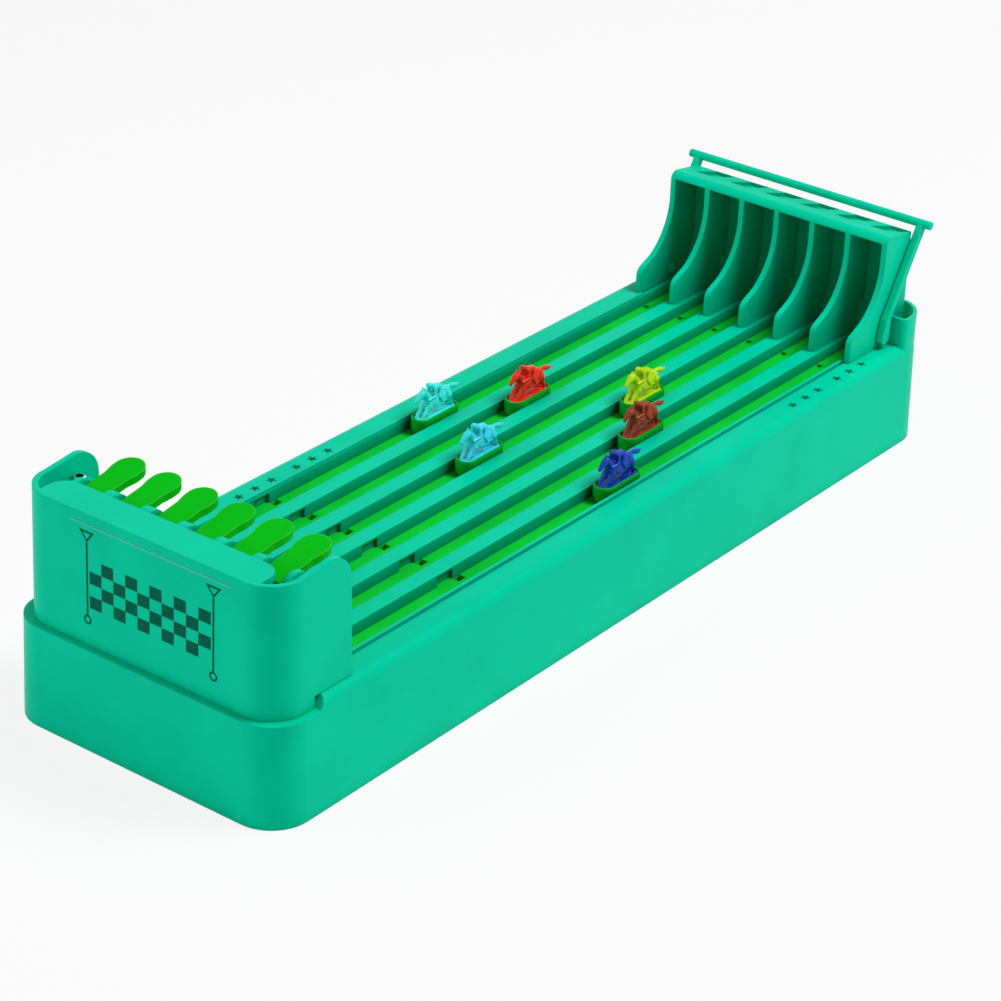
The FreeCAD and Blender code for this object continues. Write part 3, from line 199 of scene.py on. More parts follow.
TEAL_COLOUR = (0.0, 0.70, 0.42)
TEAL = plastic("teal_moulded", TEAL_COLOUR)
# the same teal with stronger painted shade in the ribs' and the hood's inner corners
RIB_TEAL_SHADED = plastic("rib_teal_painted_shade", TEAL_COLOUR, corner_shade=0.85, corner_reach=12.0 * MM)
HOOD_TEAL_SHADED = plastic("hood_teal_painted_shade", TEAL_COLOUR, corner_shade=0.45, corner_reach=20.0 * MM)
# paler teal for the raised line on the cap: painted highlight
HIGHLIGHT_TEAL = plastic("pale_teal_painted_highlight", (0.2, 0.86, 0.66))
LANE_GREEN = plastic("lane_green_moulded", (0.005, 0.68, 0.05), tint=0.12, corner_shade=0.1)
# strong painted highlight in pale green along the levers' edges
LEVER_GREEN = plastic("lever_green_moulded", (0.0, 0.57, 0.008), edge_highlight=1.0,
                      edge_highlight_colour=(0.16, 0.82, 0.10), rounding=0.5 * MM)
CUP_GREEN = plastic("cup_green_moulded", (0.0, 0.42, 0.03), edge_highlight=0.4)
HORSE_COLOURS = {
    1: ("aqua", (0.04, 0.96, 0.90)),
    2: ("red", (0.96, 0.03, 0.006)),
    3: ("light_blue", (0.04, 0.78, 0.98)),
    4: ("yellow_green", (0.56, 0.86, 0.0)),
    5: ("brown", (0.34, 0.045, 0.01)),
    6: ("blue", (0.0, 0.05, 0.46)),
}
FIGURE_PAINT = {lane: plastic(f"{name}_moulded", colour, roughness=0.16, specular=0.22,
                              tint=0.08, edge_highlight=0.2, rounding=0.25 * MM, corner_shade=0.5,
                              corner_reach=1.6 * MM)
                for lane, (name, colour) in HORSE_COLOURS.items()}


# ---------------------------------------------------------------- metals and print
MARK_NOISE = (900.0, 5.0)
MARK_DEPTH = 0.05 * MM
MARK_SMOOTHER, MARK_ROUGHER = 0.06, 0.1
WAVE_LENGTH = math.tau / 20  # of Blender's wave texture at scale 1
COIL_PITCH = 0.7 * MM
COIL_POSITIONS = (0.0, 0.45)
GROOVE_SHADE = 0.15
GROOVE_SHARE = 1 / 3  # depth of the groove, as a share of the pitch
SPECK_NOISE = (700.0, 4.0)
SPECK_POSITIONS = (0.25, 0.45)
SPECK_LIFT = 1.6
PRINT_NOISE = (400.0, 2.0)
PRINT_ROUGHNESS = (0.4, 0.6)
PRINT_SPECULAR = 0.03


def coils(tree, place, pitch):
    """A grey wave that falls into the groove between coils wound up the z axis."""
    wave = tree.nodes.new("ShaderNodeTexWave")
    wave.bands_direction = "Z"
    wave.inputs["Scale"].default_value = WAVE_LENGTH / pitch
    links(tree, (place, wave.inputs["Vector"]))
    return wave.outputs["Fac"]


def metal(name, colour, roughness=0.25, brushed=0.3, coil_pitch=None):
    """Plated or polished steel with fine turning marks, or grooves between coils in painted
    shade.
    """
    material, tree, shader, place = new_material(name)
    shader.inputs["Metallic"].default_value = 1.0
    shader.inputs["Base Color"].default_value = (*colour, 1.0)
    marks = noise(tree, place, *MARK_NOISE)
    if coil_pitch:
        wave = coils(tree, place, coil_pitch)
        # painted shade: the grooves between coils are darkened
        groove_shaded_coil = colour_ramp(tree, wave, COIL_POSITIONS, (scaled(colour, GROOVE_SHADE), colour))
        links(tree, (groove_shaded_coil, shader.inputs["Base Color"]))
        bump(tree, shader, wave, 1.0, coil_pitch * GROOVE_SHARE)
    else:
        bump(tree, shader, marks, brushed, MARK_DEPTH)
    gloss = spread(tree, marks, roughness - MARK_SMOOTHER, roughness + MARK_ROUGHER)
    links(tree, (gloss, shader.inputs["Roughness"]))
    return material


def print_paint(name, colour):
    """Printed paint, slightly worn through in specks."""
    material, tree, shader, place = new_material(name, PRINT_SPECULAR)
    worn = colour_ramp(tree, noise(tree, place, *SPECK_NOISE), SPECK_POSITIONS,
                       (scaled(colour, SPECK_LIFT), colour))
    gloss = spread(tree, noise(tree, place, *PRINT_NOISE), *PRINT_ROUGHNESS)
    links(tree, (worn, shader.inputs["Base Color"]), (gloss, shader.inputs["Roughness"]))
    return material


STEEL = metal("plated_steel", (0.80, 0.81, 0.82))
# near-black for the screws' recesses: painted shade
RECESS_SHADE_STEEL = metal("screw_recess_painted_shade", (0.02, 0.02, 0.022), roughness=0.6)
BALL_STEEL = metal("polished_steel", (0.78, 0.79, 0.81), roughness=0.1, brushed=0.02)
SPRING_STEEL = metal("coiled_steel", (0.62, 0.63, 0.65), coil_pitch=COIL_PITCH)
DARK_GREEN_PRINT = print_paint("dark_green_print", (0.0, 0.13, 0.07))


# ---------------------------------------------------------------- materials of the CAD nodes
def dress(node, material):
    """Give a CAD node its material."""
    data = NODES[node].data
    data.materials.clear()
    data.materials.append(material)


for node in ("track_housing", "finish_cap", "lever_carrier", "rear_bail", "bottom_cover",
             "bail_pins"):
    dress(node, TEAL)
dress("lane_frame", RIB_TEAL_SHADED)
dress("start_hood", HOOD_TEAL_SHADED)
dress("lane_plate", LANE_GREEN)
for node in ("lever_axle", "cover_screws", "lane_screws", "hood_screws", "cap_screws",
             "carrier_screws"):
    dress(node, STEEL)
for lane in LANES:
    dress(f"lever_{lane}", LEVER_GREEN)
    dress(f"horse_base_{lane}", CUP_GREEN)
    dress(f"horse_{lane}", FIGURE_PAINT[lane])
    dress(f"ball_{lane}", BALL_STEEL)
    dress(f"lever_spring_{lane}", SPRING_STEEL)


# ---------------------------------------------------------------- mesh helpers
def finish_mesh(name, bm):
    """Turn a bmesh into a mesh."""
    mesh = bpy.data.meshes.new(name)
    bm.to_mesh(mesh)
    bm.free()
    return mesh


def link(name, mesh, *materials):
    """Put a mesh in the scene as one object."""
    piece = bpy.data.objects.new(name, mesh)
    bpy.context.scene.collection.objects.link(piece)
    for material in materials:
        mesh.materials.append(material)
    return piece


def quarter_turn(steps):
    """Sine and cosine pairs over a quarter circle."""
    return [(math.sin(math.pi / 2 * step / steps), math.cos(math.pi / 2 * step / steps))
            for step in range(steps + 1)]


def circle(sides):
    """Cosine and sine pairs round a circle, anticlockwise."""
    return [(math.cos(math.tau * side / sides), math.sin(math.tau * side / sides))
            for side in range(sides)]


def after(row):
    """The same closed row, begun one place later."""
    return row[1:] + row[:1]


def walls(bm, low, high):
    """Four-sided faces between two closed rows of vertices."""
    return [bm.faces.new(corners) for corners in zip(low, after(low), after(high), high)]


def rows_of(bm, rings):
    """Vertices for rings of points, joined with faces, and the first ring closed."""
    rows = [[bm.verts.new(point) for point in ring] for ring in rings]
    for low, high in zip(rows, rows[1:]):
        walls(bm, low, high)
    bm.faces.new(rows[0][::-1])
    return rows


def skin(bm, rings):
    """A closed form through rings of points."""
    bm.faces.new(rows_of(bm, rings)[-1])


# ---------------------------------------------------------------- horse and rider
BAR_RINGS = 6
BAR_SIDES = 14
MELT_VOXEL = 0.16 * MM
SMOOTH_FACTOR = 0.5
SMOOTH_STEPS = 2
KEPT_FACES = 0.25  # share left by the thinning out

# Each limb is a chain of balls joined by tapered bars. A ball is its place along the lane with
# the nose at -y, across, and up from the cup's underside, and its radius, in millimetres.
CHAINS = [
    # barrel, chest and hindquarters
    [(6.0, 0, 12.6, 2.7), (3.4, 0, 12.2, 2.7), (0.0, 0, 11.6, 3.0), (-3.2, 0, 11.7, 2.85),
     (-4.5, 0, 12.0, 2.5)],
    [(6.9, 0, 13.3, 2.1), (5.2, 0, 13.5, 2.1)],
    # neck and head
    [(-4.4, 0, 13.2, 2.2), (-5.9, 0, 15.1, 1.75), (-7.1, 0, 16.8, 1.4)],
    [(-7.4, 0, 17.1, 1.5), (-8.8, 0, 16.4, 1.5), (-10.2, 0, 15.6, 1.15),
     (-11.7, 0, 14.5, 0.82)],
    # mane along the crest
    [(-6.6, 0, 17.9, 0.5), (-5.4, 0, 16.6, 0.65), (-4.5, 0, 15.6, 0.75)],
    # tail, widest in its middle
    [(8.4, 0, 14.2, 0.75), (10.2, 0, 14.1, 0.95), (12.2, 0, 13.5, 1.1), (13.8, 0, 13.1, 0.8),
     (15.2, 0, 13.4, 0.25)],
    # front legs, stretched forward
    [(-5.0, 1.2, 10.6, 1.7), (-6.3, 1.3, 9.0, 1.15), (-7.8, 1.3, 7.9, 0.9),
     (-9.0, 1.3, 6.6, 0.8), (-9.2, 1.3, 6.0, 1.0)],
    [(-5.6, -1.2, 10.4, 1.7), (-7.6, -1.3, 8.6, 1.0), (-9.2, -1.3, 7.4, 0.85),
     (-10.0, -1.3, 6.0, 0.95)],
    # hind legs, stretched back
    [(6.6, 1.2, 11.6, 2.1), (7.5, 1.3, 9.8, 1.3), (8.3, 1.3, 8.4, 0.95), (9.1, 1.3, 7.0, 0.8),
     (9.4, 1.3, 6.0, 1.05)],
    [(6.8, -1.2, 11.4, 2.1), (8.0, -1.3, 9.4, 1.2), (9.0, -1.3, 8.0, 0.9),
     (10.0, -1.3, 6.6, 0.8), (10.2, -1.3, 6.0, 0.95)],
    # rider's head with cap, its peak, and neck
    [(-3.6, 0, 18.9, 1.25), (-4.1, 0, 19.1, 1.25)],
    [(-4.6, 0, 19.2, 0.6), (-5.3, 0, 18.95, 0.35)],
    [(-3.2, 0, 18.3, 0.9), (-1.6, 0, 17.6, 1.0)],
    # saddle behind the seat
    [(4.3, 0, 14.7, 1.05), (4.7, 0, 14.7, 1.05)],
]
PAIRED_CHAINS = [
    # ear
    [(-7.3, 0.5, 18.2, 0.5), (-7.1, 0.65, 19.3, 0.2)],
    # half of the rider's back and seat
    [(-1.4, 0.5, 17.6, 1.25), (0.6, 0.4, 17.0, 1.3), (2.3, 0.4, 16.5, 1.45),
     (2.9, 0.3, 15.7, 1.2)],
    # arm to the reins
    [(-1.4, 1.5, 17.3, 0.8), (-2.3, 2.3, 14.5, 0.65), (-6.1, 1.9, 13.8, 0.55)],
    # thigh, shin and foot
    [(2.6, 1.4, 15.9, 1.1), (0.0, 2.6, 13.4, 0.85), (1.7, 2.9, 10.7, 0.6),
     (0.9, 3.0, 10.1, 0.5)],
    # raised hem of the saddle cloth, down the flank and forward along the belly
    [(5.0, 0.0, 15.4, 0.32), (5.0, 1.5, 14.9, 0.32), (5.0, 2.5, 13.7, 0.32),
     (5.0, 2.75, 12.2, 0.32), (4.8, 2.5, 10.9, 0.32), (2.4, 2.7, 10.7, 0.3),
     (0.0, 2.85, 10.6, 0.3), (-2.6, 2.7, 10.7, 0.3)],
]


def mirrored(chain):
    """The same chain on the other side."""
    return [(along, -across, up, radius) for along, across, up, radius in chain]


def tapered_bar(bm, start, start_radius, end, end_radius):
    """A tapered bar with round ends."""
    along = end - start
    turn = Vector((0, 0, 1)).rotation_difference(along).to_matrix()
    profile = [(-sine * start_radius, cosine * start_radius)
               for sine, cosine in reversed(quarter_turn(BAR_RINGS))]
    profile += [(along.length + sine * end_radius, cosine * end_radius)
                for sine, cosine in quarter_turn(BAR_RINGS)]
    skin(bm, [[start + turn @ Vector((x * radius, y * radius, height))
               for x, y in circle(BAR_SIDES)] for height, radius in profile])


def melt(rough):
    """The mesh of an object with its parts melted together, smoothed and thinned out."""
    remesh = rough.modifiers.new("melt", "REMESH")
    remesh.mode = "VOXEL"
    remesh.voxel_size = MELT_VOXEL
    smooth = rough.modifiers.new("soft", "SMOOTH")
    smooth.factor = SMOOTH_FACTOR
    smooth.iterations = SMOOTH_STEPS
    rough.modifiers.new("thin", "DECIMATE").ratio = KEPT_FACES
    view = bpy.context.evaluated_depsgraph_get()
    return bpy.data.meshes.new_from_object(rough.evaluated_get(view))


def figure_mesh():
    """One horse and rider, its feet on the plug of a cup whose underside is at z 0."""
    bm = bmesh.new()
    for chain in CHAINS + PAIRED_CHAINS + [mirrored(chain) for chain in PAIRED_CHAINS]:
        balls = [(Vector((across, along, up)) * MM, radius * MM)
                 for along, across, up, radius in chain]
        for one, two in zip(balls, balls[1:]):
            tapered_bar(bm, *one, *two)
    rough = link("figure_rough", finish_mesh("figure_rough", bm))
    mesh = melt(rough)
    bpy.data.objects.remove(rough)
    for face in mesh.polygons:
        face.use_smooth = True
    return mesh


# ---------------------------------------------------------------- cups
CUP_WALL = 1.1 * MM
CUP_FLOOR = 1.4 * MM
CUP_FOOT_ROUNDING = 1.6 * MM
CUP_RIM_ROUNDING = 0.3 * MM
PLUG_GAP = 0.15 * MM
PLUG_TOP = 6.5 * MM
PLUG_ROUNDING = 0.5 * MM
RIDGE_HALF_WIDTH = 1.3 * MM
RIDGE_HALF_LENGTH = 7.6 * MM
RIDGE_TOP = 7.1 * MM


def pill_ring(half_width, half_length, z, sides=14):
    """A pill-shaped ring of points, long in y."""
    straight = half_length - half_width
    ring = []
    for end in (1, -1):
        for step in range(sides + 1):
            angle = math.pi * step / sides + (0 if end > 0 else math.pi)
            ring.append((math.cos(angle) * half_width,
                         math.sin(angle) * half_width + end * straight, z))
    return ring


def cup_mesh(width, length, height):
    """A pill-shaped cup with a rounded foot and rim, its underside at z 0."""
    rim_turn = quarter_turn(3)
    steps = [(CUP_FOOT_ROUNDING * (1 - sine), CUP_FOOT_ROUNDING * (1 - cosine))
             for sine, cosine in quarter_turn(5)]
    steps += [(CUP_RIM_ROUNDING * (1 - cosine), height - CUP_RIM_ROUNDING * (1 - sine))
              for sine, cosine in rim_turn]
    steps += [(CUP_WALL - CUP_RIM_ROUNDING * (1 - sine), height - CUP_RIM_ROUNDING * (1 - cosine))
              for sine, cosine in rim_turn]
    steps += [(CUP_WALL, CUP_FLOOR + CUP_RIM_ROUNDING),
              (CUP_WALL + CUP_RIM_ROUNDING, CUP_FLOOR)]
    bm = bmesh.new()
    skin(bm, [pill_ring(width / 2 - inset, length / 2 - inset, z) for inset, z in steps])
    mesh = finish_mesh("cup", bm)
    for face in mesh.polygons:
        face.use_smooth = len(face.vertices) == 4
    return mesh


def round_top(top, steps):
    """Inset and height pairs over a rounded top edge."""
    return [(PLUG_ROUNDING * (1 - cosine), top - PLUG_ROUNDING * (1 - sine))
            for sine, cosine in quarter_turn(steps)]


def plug_mesh(width, length):
    """What the horse stands on: a pill-shaped plug in the cup with a low ridge along it."""
    half_width = width / 2 - CUP_WALL - PLUG_GAP
    half_length = length / 2 - CUP_WALL - PLUG_GAP
    bm = bmesh.new()
    skin(bm, [pill_ring(half_width - inset, half_length - inset, z)
              for inset, z in [(0, CUP_FLOOR)] + round_top(PLUG_TOP, 4)])
    skin(bm, [pill_ring(RIDGE_HALF_WIDTH - inset, RIDGE_HALF_LENGTH - inset, z, 6)
              for inset, z in round_top(RIDGE_TOP, 3)])
    return finish_mesh("plug", bm)


def cup_place(lane):
    """The size of a lane's cup, and the move to where it stands."""
    low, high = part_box(f"horse_base_{lane}")
    size = [top - bottom for bottom, top in zip(low, high)]
    return size, Matrix.Translation(((low.x + high.x) / 2, (low.y + high.y) / 2, low.z))


def make_cup(lane):
    """A lane's cup."""
    size, spot = cup_place(lane)
    mesh = cup_mesh(*size)
    mesh.transform(spot)
    piece = link(f"cup_{lane}", mesh, CUP_GREEN)
    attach(piece, f"horse_{lane}_body")
    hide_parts(f"horse_base_{lane}")


def make_figure(lane, shape):
    """A horse and rider on the plug in its lane's cup."""
    size, spot = cup_place(lane)
    bm = bmesh.new()
    bm.from_mesh(shape)
    bm.from_mesh(plug_mesh(*size[:2]))
    mesh = finish_mesh(f"figure_{lane}", bm)
    mesh.transform(spot)
    piece = link(f"figure_{lane}", mesh, FIGURE_PAINT[lane])
    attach(piece, f"horse_{lane}_body")
    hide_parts(f"horse_{lane}")


FIGURE = figure_mesh()
for lane in LANES:
    make_cup(lane)
    make_figure(lane, FIGURE)


# ---------------------------------------------------------------- screws
HEAD_RADIUS = 2.4 * MM
HEAD_HEIGHT = 1.4 * MM
HEAD_ROUNDING = 0.5 * MM
HEAD_SIDES = 28
SHANK_RADIUS = 1.1 * MM
HEXAGON_REACH = 1.6 * MM
CROSS_REACH = 1.5 * MM
CROSS_HALF = 0.4 * MM
RECESS_DEPTH = 0.9 * MM
RECESS_TAPER = 0.8
FIRST_TWIST = 0.4  # how far the first screw is turned, in radians
NEXT_TWIST = 1.1  # and each next one against the one before
HEXAGON = [(x * HEXAGON_REACH, y * HEXAGON_REACH) for x, y in circle(6)]


def cross_ring(reach, half):
    """Outline of a cross, anticlockwise."""
    arm = [(half, half), (half, reach), (-half, reach)]
    return [(x * cosine - y * sine, x * sine + y * cosine)
            for cosine, sine in circle(4) for x, y in arm]


def screw_mesh(shank_length, recess):
    """A pan head with a recess, its top at z 0, and its shank down to -z."""
    bm = bmesh.new()
    steps = [(SHANK_RADIUS, -HEAD_HEIGHT - shank_length), (SHANK_RADIUS, -HEAD_HEIGHT),
             (HEAD_RADIUS, -HEAD_HEIGHT)]
    steps += [(HEAD_RADIUS - HEAD_ROUNDING * (1 - cosine), -HEAD_ROUNDING * (1 - sine))
              for sine, cosine in quarter_turn(4)]
    rim = rows_of(bm, [[(x * radius, y * radius, z) for x, y in circle(HEAD_SIDES)]
                       for radius, z in steps])[-1]
    for face in bm.faces:
        face.smooth = len(face.verts) == 4
    top = [bm.verts.new((x, y, 0)) for x, y in recess]
    deep = [bm.verts.new((x * RECESS_TAPER, y * RECESS_TAPER, -RECESS_DEPTH)) for x, y in recess]
    edges = [bm.edges.get(ends) for ends in zip(rim, after(rim))]
    edges += [bm.edges.new(ends) for ends in zip(top, after(top))]
    bmesh.ops.triangle_fill(bm, edges=edges, use_beauty=True, normal=(0, 0, 1))
    # the recess faces take the near-black second material: painted shade
    for face in walls(bm, deep, top) + [bm.faces.new(deep)]:
        face.material_index = 1
    bmesh.ops.recalc_face_normals(bm, faces=bm.faces)
    return finish_mesh("screw", bm)


def screw_group(node, heads, shank_length, recess, turn):
    """Screws with the tops of their heads at the given places, in place of a CAD group."""
    bm = bmesh.new()
    for number, place in enumerate(heads):
        one = screw_mesh(shank_length, recess)
        twist = Matrix.Rotation(number * NEXT_TWIST + FIRST_TWIST, 4, "Z")
        one.transform(Matrix.Translation(place) @ turn @ twist)
        bm.from_mesh(one)
        bpy.data.meshes.remove(one)
    name = f"{node}_detailed"
    piece = link(name, finish_mesh(name, bm), STEEL, RECESS_SHADE_STEEL)
    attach(piece, "base")
    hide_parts(node)


def carrier_screws():
    """Two screws with hexagon sockets, their heads up."""
    low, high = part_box("carrier_screws")
    heads = [(x, (low.y + high.y) / 2, high.z)
             for x in (low.x + HEAD_RADIUS, high.x - HEAD_RADIUS)]
    screw_group("carrier_screws", heads, high.z - low.z - HEAD_HEIGHT, HEXAGON,
                Matrix.Identity(4))


def cover_screws():
    """Six screws with cross recesses, their heads down."""
    low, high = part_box("cover_screws")
    heads = [(x, y, low.z) for x in (low.x + HEAD_RADIUS, high.x - HEAD_RADIUS)
             for y in (low.y + HEAD_RADIUS, (low.y + high.y) / 2, high.y - HEAD_RADIUS)]
    screw_group("cover_screws", heads, high.z - low.z - HEAD_HEIGHT,
                cross_ring(CROSS_REACH, CROSS_HALF), Matrix.Rotation(math.pi, 4, "X"))


carrier_screws()
cover_screws()


# ---------------------------------------------------------------- prints
PRINT_LIFT = 0.03 * MM
PRINT_THICKNESS = 0.06 * MM


def print_piece(name, outlines, place):
    """Flat printed shapes: each outline is mapped by place(x, y, height) onto the toy."""
    bm = bmesh.new()
    for outline in outlines:
        skin(bm, [[place(x, y, lift) for x, y in outline]
                  for lift in (PRINT_LIFT - PRINT_THICKNESS, PRINT_LIFT)])
    bmesh.ops.recalc_face_normals(bm, faces=bm.faces)
    piece = link(name, finish_mesh(name, bm), DARK_GREEN_PRINT)
    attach(piece, "base")


# ---------------------------------------------------------------- stars beside the lanes
DECK = 45.4 * MM
STAR_RADIUS = 2.5 * MM
STAR_INNER = 0.42
STAR_PITCH = 9.4 * MM
STAR_GAP = 14.6 * MM
RIGHT_STARS = (59.0 * MM, 113.6 * MM)
LEFT_STARS = (-56.0 * MM, -95.9 * MM)


def star(x, y):
    """A five-pointed star."""
    points = []
    for step in range(10):
        reach = STAR_RADIUS * (STAR_INNER if step % 2 else 1)
        angle = math.pi / 2 + math.pi * step / 5
        points.append((x + reach * math.cos(angle), y + reach * math.sin(angle)))
    return points


def on_deck(across, along, lift):
    """A place on the flat top beside the lanes."""
    return (across, along, DECK + lift)


def star_row(name, x, start):
    """Two groups of three stars along a side of the deck."""
    places = [start + STAR_PITCH * step for step in range(3)]
    places += [places[-1] + STAR_GAP + STAR_PITCH * step for step in range(3)]
    print_piece(name, [star(x, y) for y in places], on_deck)


star_row("stars_right", *RIGHT_STARS)
star_row("stars_left", *LEFT_STARS)


# ---------------------------------------------------------------- finish banner on the cap
FRONT_FOOT_Y = -208.3 * MM
FRONT_FOOT_Z = 41.0 * MM
FRONT_LEAN = 0.9 / 53.8
BANNER_LEFT, BANNER_RIGHT = -25.0 * MM, 32.0 * MM
BANNER_LOW, BANNER_HIGH = 56.5 * MM, 76.0 * MM
BANNER_COLUMNS = 10
BANNER_ROWS = 4
POST_HALF = 0.45 * MM
POST_GAP = 1.2 * MM
POST_LOW, POST_HIGH = 53.0 * MM, 82.0 * MM
LOOP_Z = 51.4 * MM
LOOP_RADIUS = 1.9 * MM
LOOP_WIDTH = 0.8 * MM
LOOP_SIDES = 20
PENNANT_HALF = 3.6 * MM
PENNANT_HEIGHT = 4.6 * MM
PENNANT_MIDDLE = 0.6
PENNANT_HOLLOW = 0.55


def on_front(across, up, lift):
    """A place on the cap's front wall, which leans in as it rises."""
    return (across, FRONT_FOOT_Y + (up - FRONT_FOOT_Z) * FRONT_LEAN - lift, up)


def bar(left, right, low, high):
    """A rectangle."""
    return [(left, low), (right, low), (right, high), (left, high)]


def loop(x, z):
    """A ring as short four-sided pieces."""
    inner, outer = ([(x + across * reach, z + up * reach) for across, up in circle(LOOP_SIDES)]
                    for reach in (LOOP_RADIUS - LOOP_WIDTH, LOOP_RADIUS))
    return list(zip(inner, outer, after(outer), after(inner)))


def pennant(x, z):
    """A hollow triangle that points down at its post, as three four-sided pieces."""
    outer = [(x, z), (x + PENNANT_HALF, z + PENNANT_HEIGHT),
             (x - PENNANT_HALF, z + PENNANT_HEIGHT)]
    middle = z + PENNANT_HEIGHT * PENNANT_MIDDLE
    inner = [(x + (px - x) * PENNANT_HOLLOW, middle + (pz - middle) * PENNANT_HOLLOW)
             for px, pz in outer]
    return list(zip(outer, after(outer), after(inner), inner))


def banner_cloth():
    """The dark squares of a chequered cloth."""
    wide = (BANNER_RIGHT - BANNER_LEFT) / BANNER_COLUMNS
    tall = (BANNER_HIGH - BANNER_LOW) / BANNER_ROWS
    return [bar(BANNER_LEFT + column * wide, BANNER_LEFT + (column + 1) * wide,
                BANNER_LOW + row * tall, BANNER_LOW + (row + 1) * tall)
            for column in range(BANNER_COLUMNS) for row in range(BANNER_ROWS)
            if (column + row) % 2 == 0]


def banner_post(x):
    """A post with a loop at its foot and a pennant on its top."""
    return [bar(x - POST_HALF, x + POST_HALF, POST_LOW, POST_HIGH),
            *loop(x, LOOP_Z), *pennant(x, POST_HIGH)]


print_piece("finish_banner",
            banner_cloth() + banner_post(BANNER_LEFT - POST_GAP)
            + banner_post(BANNER_RIGHT + POST_GAP), on_front)


# ---------------------------------------------------------------- moulded line on the cap
LINE_LEFT, LINE_RIGHT = -34.0 * MM, 41.6 * MM
LINE_LOW, LINE_HIGH = 88.7 * MM, 89.3 * MM
LINE_BEVEL = 0.2 * MM
LINE_PROUD = 0.25 * MM


def cap_front_line():
    """A thin raised line near the top of the cap's front, paler teal as a painted highlight."""
    foot = bar(LINE_LEFT, LINE_RIGHT, LINE_LOW, LINE_HIGH)
    top = bar(LINE_LEFT + LINE_BEVEL, LINE_RIGHT - LINE_BEVEL,
              LINE_LOW + LINE_BEVEL, LINE_HIGH - LINE_BEVEL)
    bm = bmesh.new()
    skin(bm, [[on_front(x, z, 0) for x, z in foot], [on_front(x, z, LINE_PROUD) for x, z in top]])
    bmesh.ops.recalc_face_normals(bm, faces=bm.faces)
    line = link("cap_front_line", finish_mesh("cap_front_line", bm), HIGHLIGHT_TEAL)
    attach(line, "base")


cap_front_line()


# ---------------------------------------------------------------- floor and world
FLOOR_HALF = 6.0
FLOOR_GAP = 0.2 * MM
FLOOR_GREY = 0.85
FLOOR_ROUGHNESS = 0.8
FLOOR_WHITE = 0.85  # share of plain white where the floor is seen directly
WORLD_STRENGTH = 0.25
WHITE = (1.0, 1.0, 1.0, 1.0)


def seen_directly(tree, share):
    """The share for rays that see a backdrop: from the camera, a gloss or clear material."""
    path = tree.nodes.new("ShaderNodeLightPath")
    seen = path.outputs["Is Camera Ray"]
    for kind in ("Is Glossy Ray", "Is Transmission Ray"):
        either = tree.nodes.new("ShaderNodeMath")
        either.operation = "MAXIMUM"
        links(tree, (seen, either.inputs[0]), (path.outputs[kind], either.inputs[1]))
        seen = either.outputs["Value"]
    part = tree.nodes.new("ShaderNodeMath")
    part.operation = "MULTIPLY"
    part.inputs[1].default_value = share
    links(tree, (seen, part.inputs[0]))
    return part.outputs["Value"]


def mix_in(tree, share, own, seen, surface):
    """Mix what rays see directly into a surface's or the world's own shader."""
    mix = tree.nodes.new("ShaderNodeMixShader")
    links(tree, (seen_directly(tree, share), mix.inputs["Fac"]), (own, mix.inputs[1]),
          (seen, mix.inputs[2]), (mix.outputs["Shader"], surface))


def floor_material():
    """Pale grey that takes the shadow, and looks nearly white."""
    material = bpy.data.materials.new("pale_floor")
    material.use_nodes = True
    tree = material.node_tree
    shader = tree.nodes["Principled BSDF"]
    shader.inputs["Roughness"].default_value = FLOOR_ROUGHNESS
    shader.inputs["Specular IOR Level"].default_value = 0.0
    shader.inputs["Base Color"].default_value = (FLOOR_GREY, FLOOR_GREY, FLOOR_GREY, 1.0)
    white = tree.nodes.new("ShaderNodeEmission")
    white.inputs["Strength"].default_value = 1.0
    mix_in(tree, FLOOR_WHITE, shader.outputs["BSDF"], white.outputs["Emission"],
           tree.nodes["Material Output"].inputs["Surface"])
    return material


def make_floor():
    bm = bmesh.new()
    bmesh.ops.create_grid(bm, x_segments=1, y_segments=1, size=FLOOR_HALF)
    floor = link("floor", finish_mesh("floor", bm), floor_material())
    floor.location = (0, 0, -FLOOR_GAP)


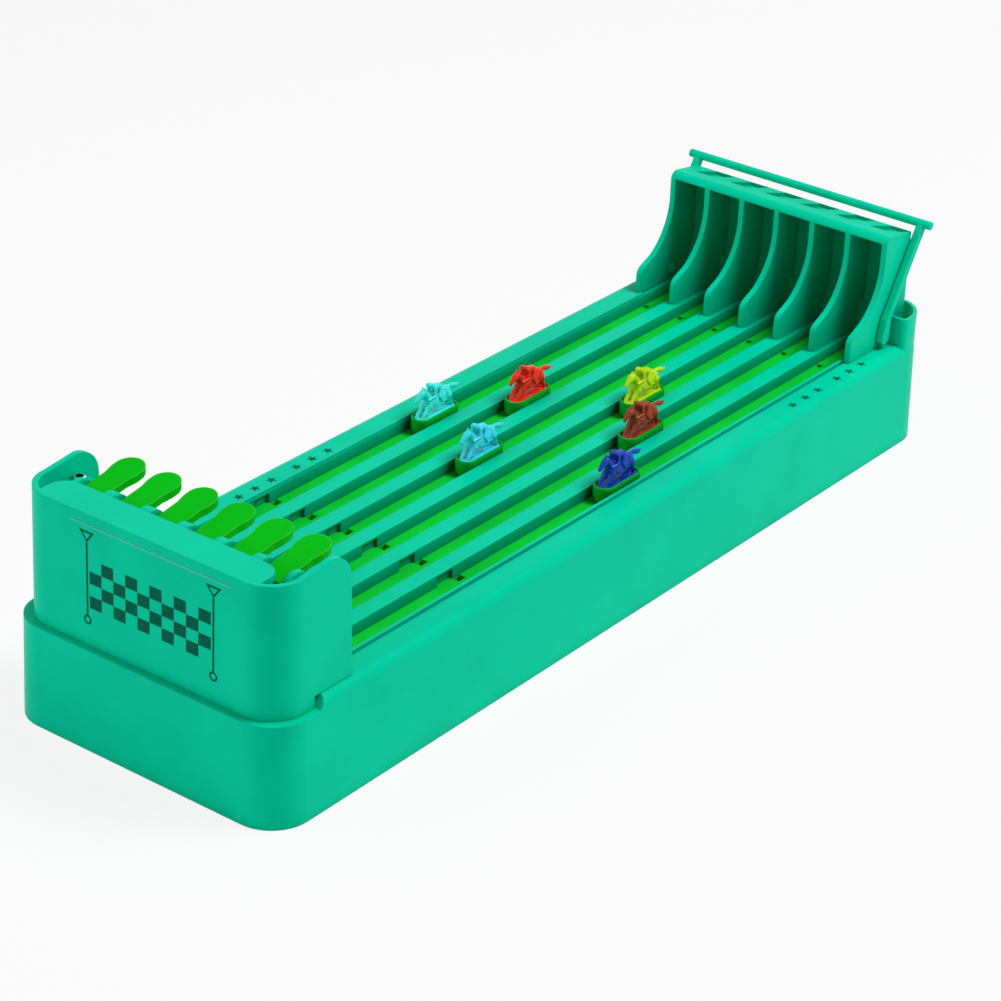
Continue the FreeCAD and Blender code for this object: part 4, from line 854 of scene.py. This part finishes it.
def make_world():
    """Soft light all round, and plain white where the camera sees past the floor."""
    world = bpy.data.worlds.new("studio")
    bpy.context.scene.world = world
    world.use_nodes = True
    tree = world.node_tree
    soft = tree.nodes["Background"]
    soft.inputs["Color"].default_value = WHITE
    soft.inputs["Strength"].default_value = WORLD_STRENGTH
    white = tree.nodes.new("ShaderNodeBackground")
    white.inputs["Color"].default_value = WHITE
    mix_in(tree, 1.0, soft.outputs["Background"], white.outputs["Background"],
           tree.nodes["World Output"].inputs["Surface"])


# ---------------------------------------------------------------- lamps and camera
# A lamp is its name, place, size and power.
LAMPS = [
    ("key", (0.75, 0.45, 1.45), 0.7, 18.5),
    ("fill", (-0.8, -1.1, 0.45), 1.2, 6.4),
]
AZIMUTH = 0.643340
ELEVATION = 0.484743
ROLL = 0.0378448
FOCAL_PIXELS = 3248.9
IMAGE_PIXELS = 1001
SENSOR = 36.0
CAMERA_PLACE = (0.68150, -0.91302, 0.62545)
NEAREST = 0.01


def area_light(name, place, size, power):
    """A round lamp aimed at the middle of the toy's underside."""
    data = bpy.data.lights.new(name, "AREA")
    data.shape = "DISK"
    data.size = size
    data.energy = power
    lamp = bpy.data.objects.new(name, data)
    lamp.location = place
    lamp.rotation_euler = (-Vector(place)).to_track_quat("-Z", "Y").to_euler()
    bpy.context.scene.collection.objects.link(lamp)


def make_camera():
    """The photograph's camera, fitted to the toy's straight edges in it."""
    back = Vector((math.sin(AZIMUTH) * math.cos(ELEVATION),
                   -math.cos(AZIMUTH) * math.cos(ELEVATION), math.sin(ELEVATION)))
    right = Vector((math.cos(AZIMUTH), math.sin(AZIMUTH), 0))
    up = back.cross(right)
    side = math.cos(ROLL) * right + math.sin(ROLL) * up
    top = -math.sin(ROLL) * right + math.cos(ROLL) * up
    data = bpy.data.cameras.new("camera")
    data.sensor_width = SENSOR
    data.sensor_fit = "HORIZONTAL"
    data.lens = FOCAL_PIXELS * SENSOR / IMAGE_PIXELS
    data.clip_start = NEAREST
    camera = bpy.data.objects.new("camera", data)
    turn = Matrix((side, top, back)).transposed().to_4x4()
    camera.matrix_world = Matrix.Translation(CAMERA_PLACE) @ turn
    bpy.context.scene.collection.objects.link(camera)
    bpy.context.scene.camera = camera


make_floor()
for lamp in LAMPS:
    area_light(*lamp)
make_world()
make_camera()
bpy.context.scene.view_settings.view_transform = "Standard"
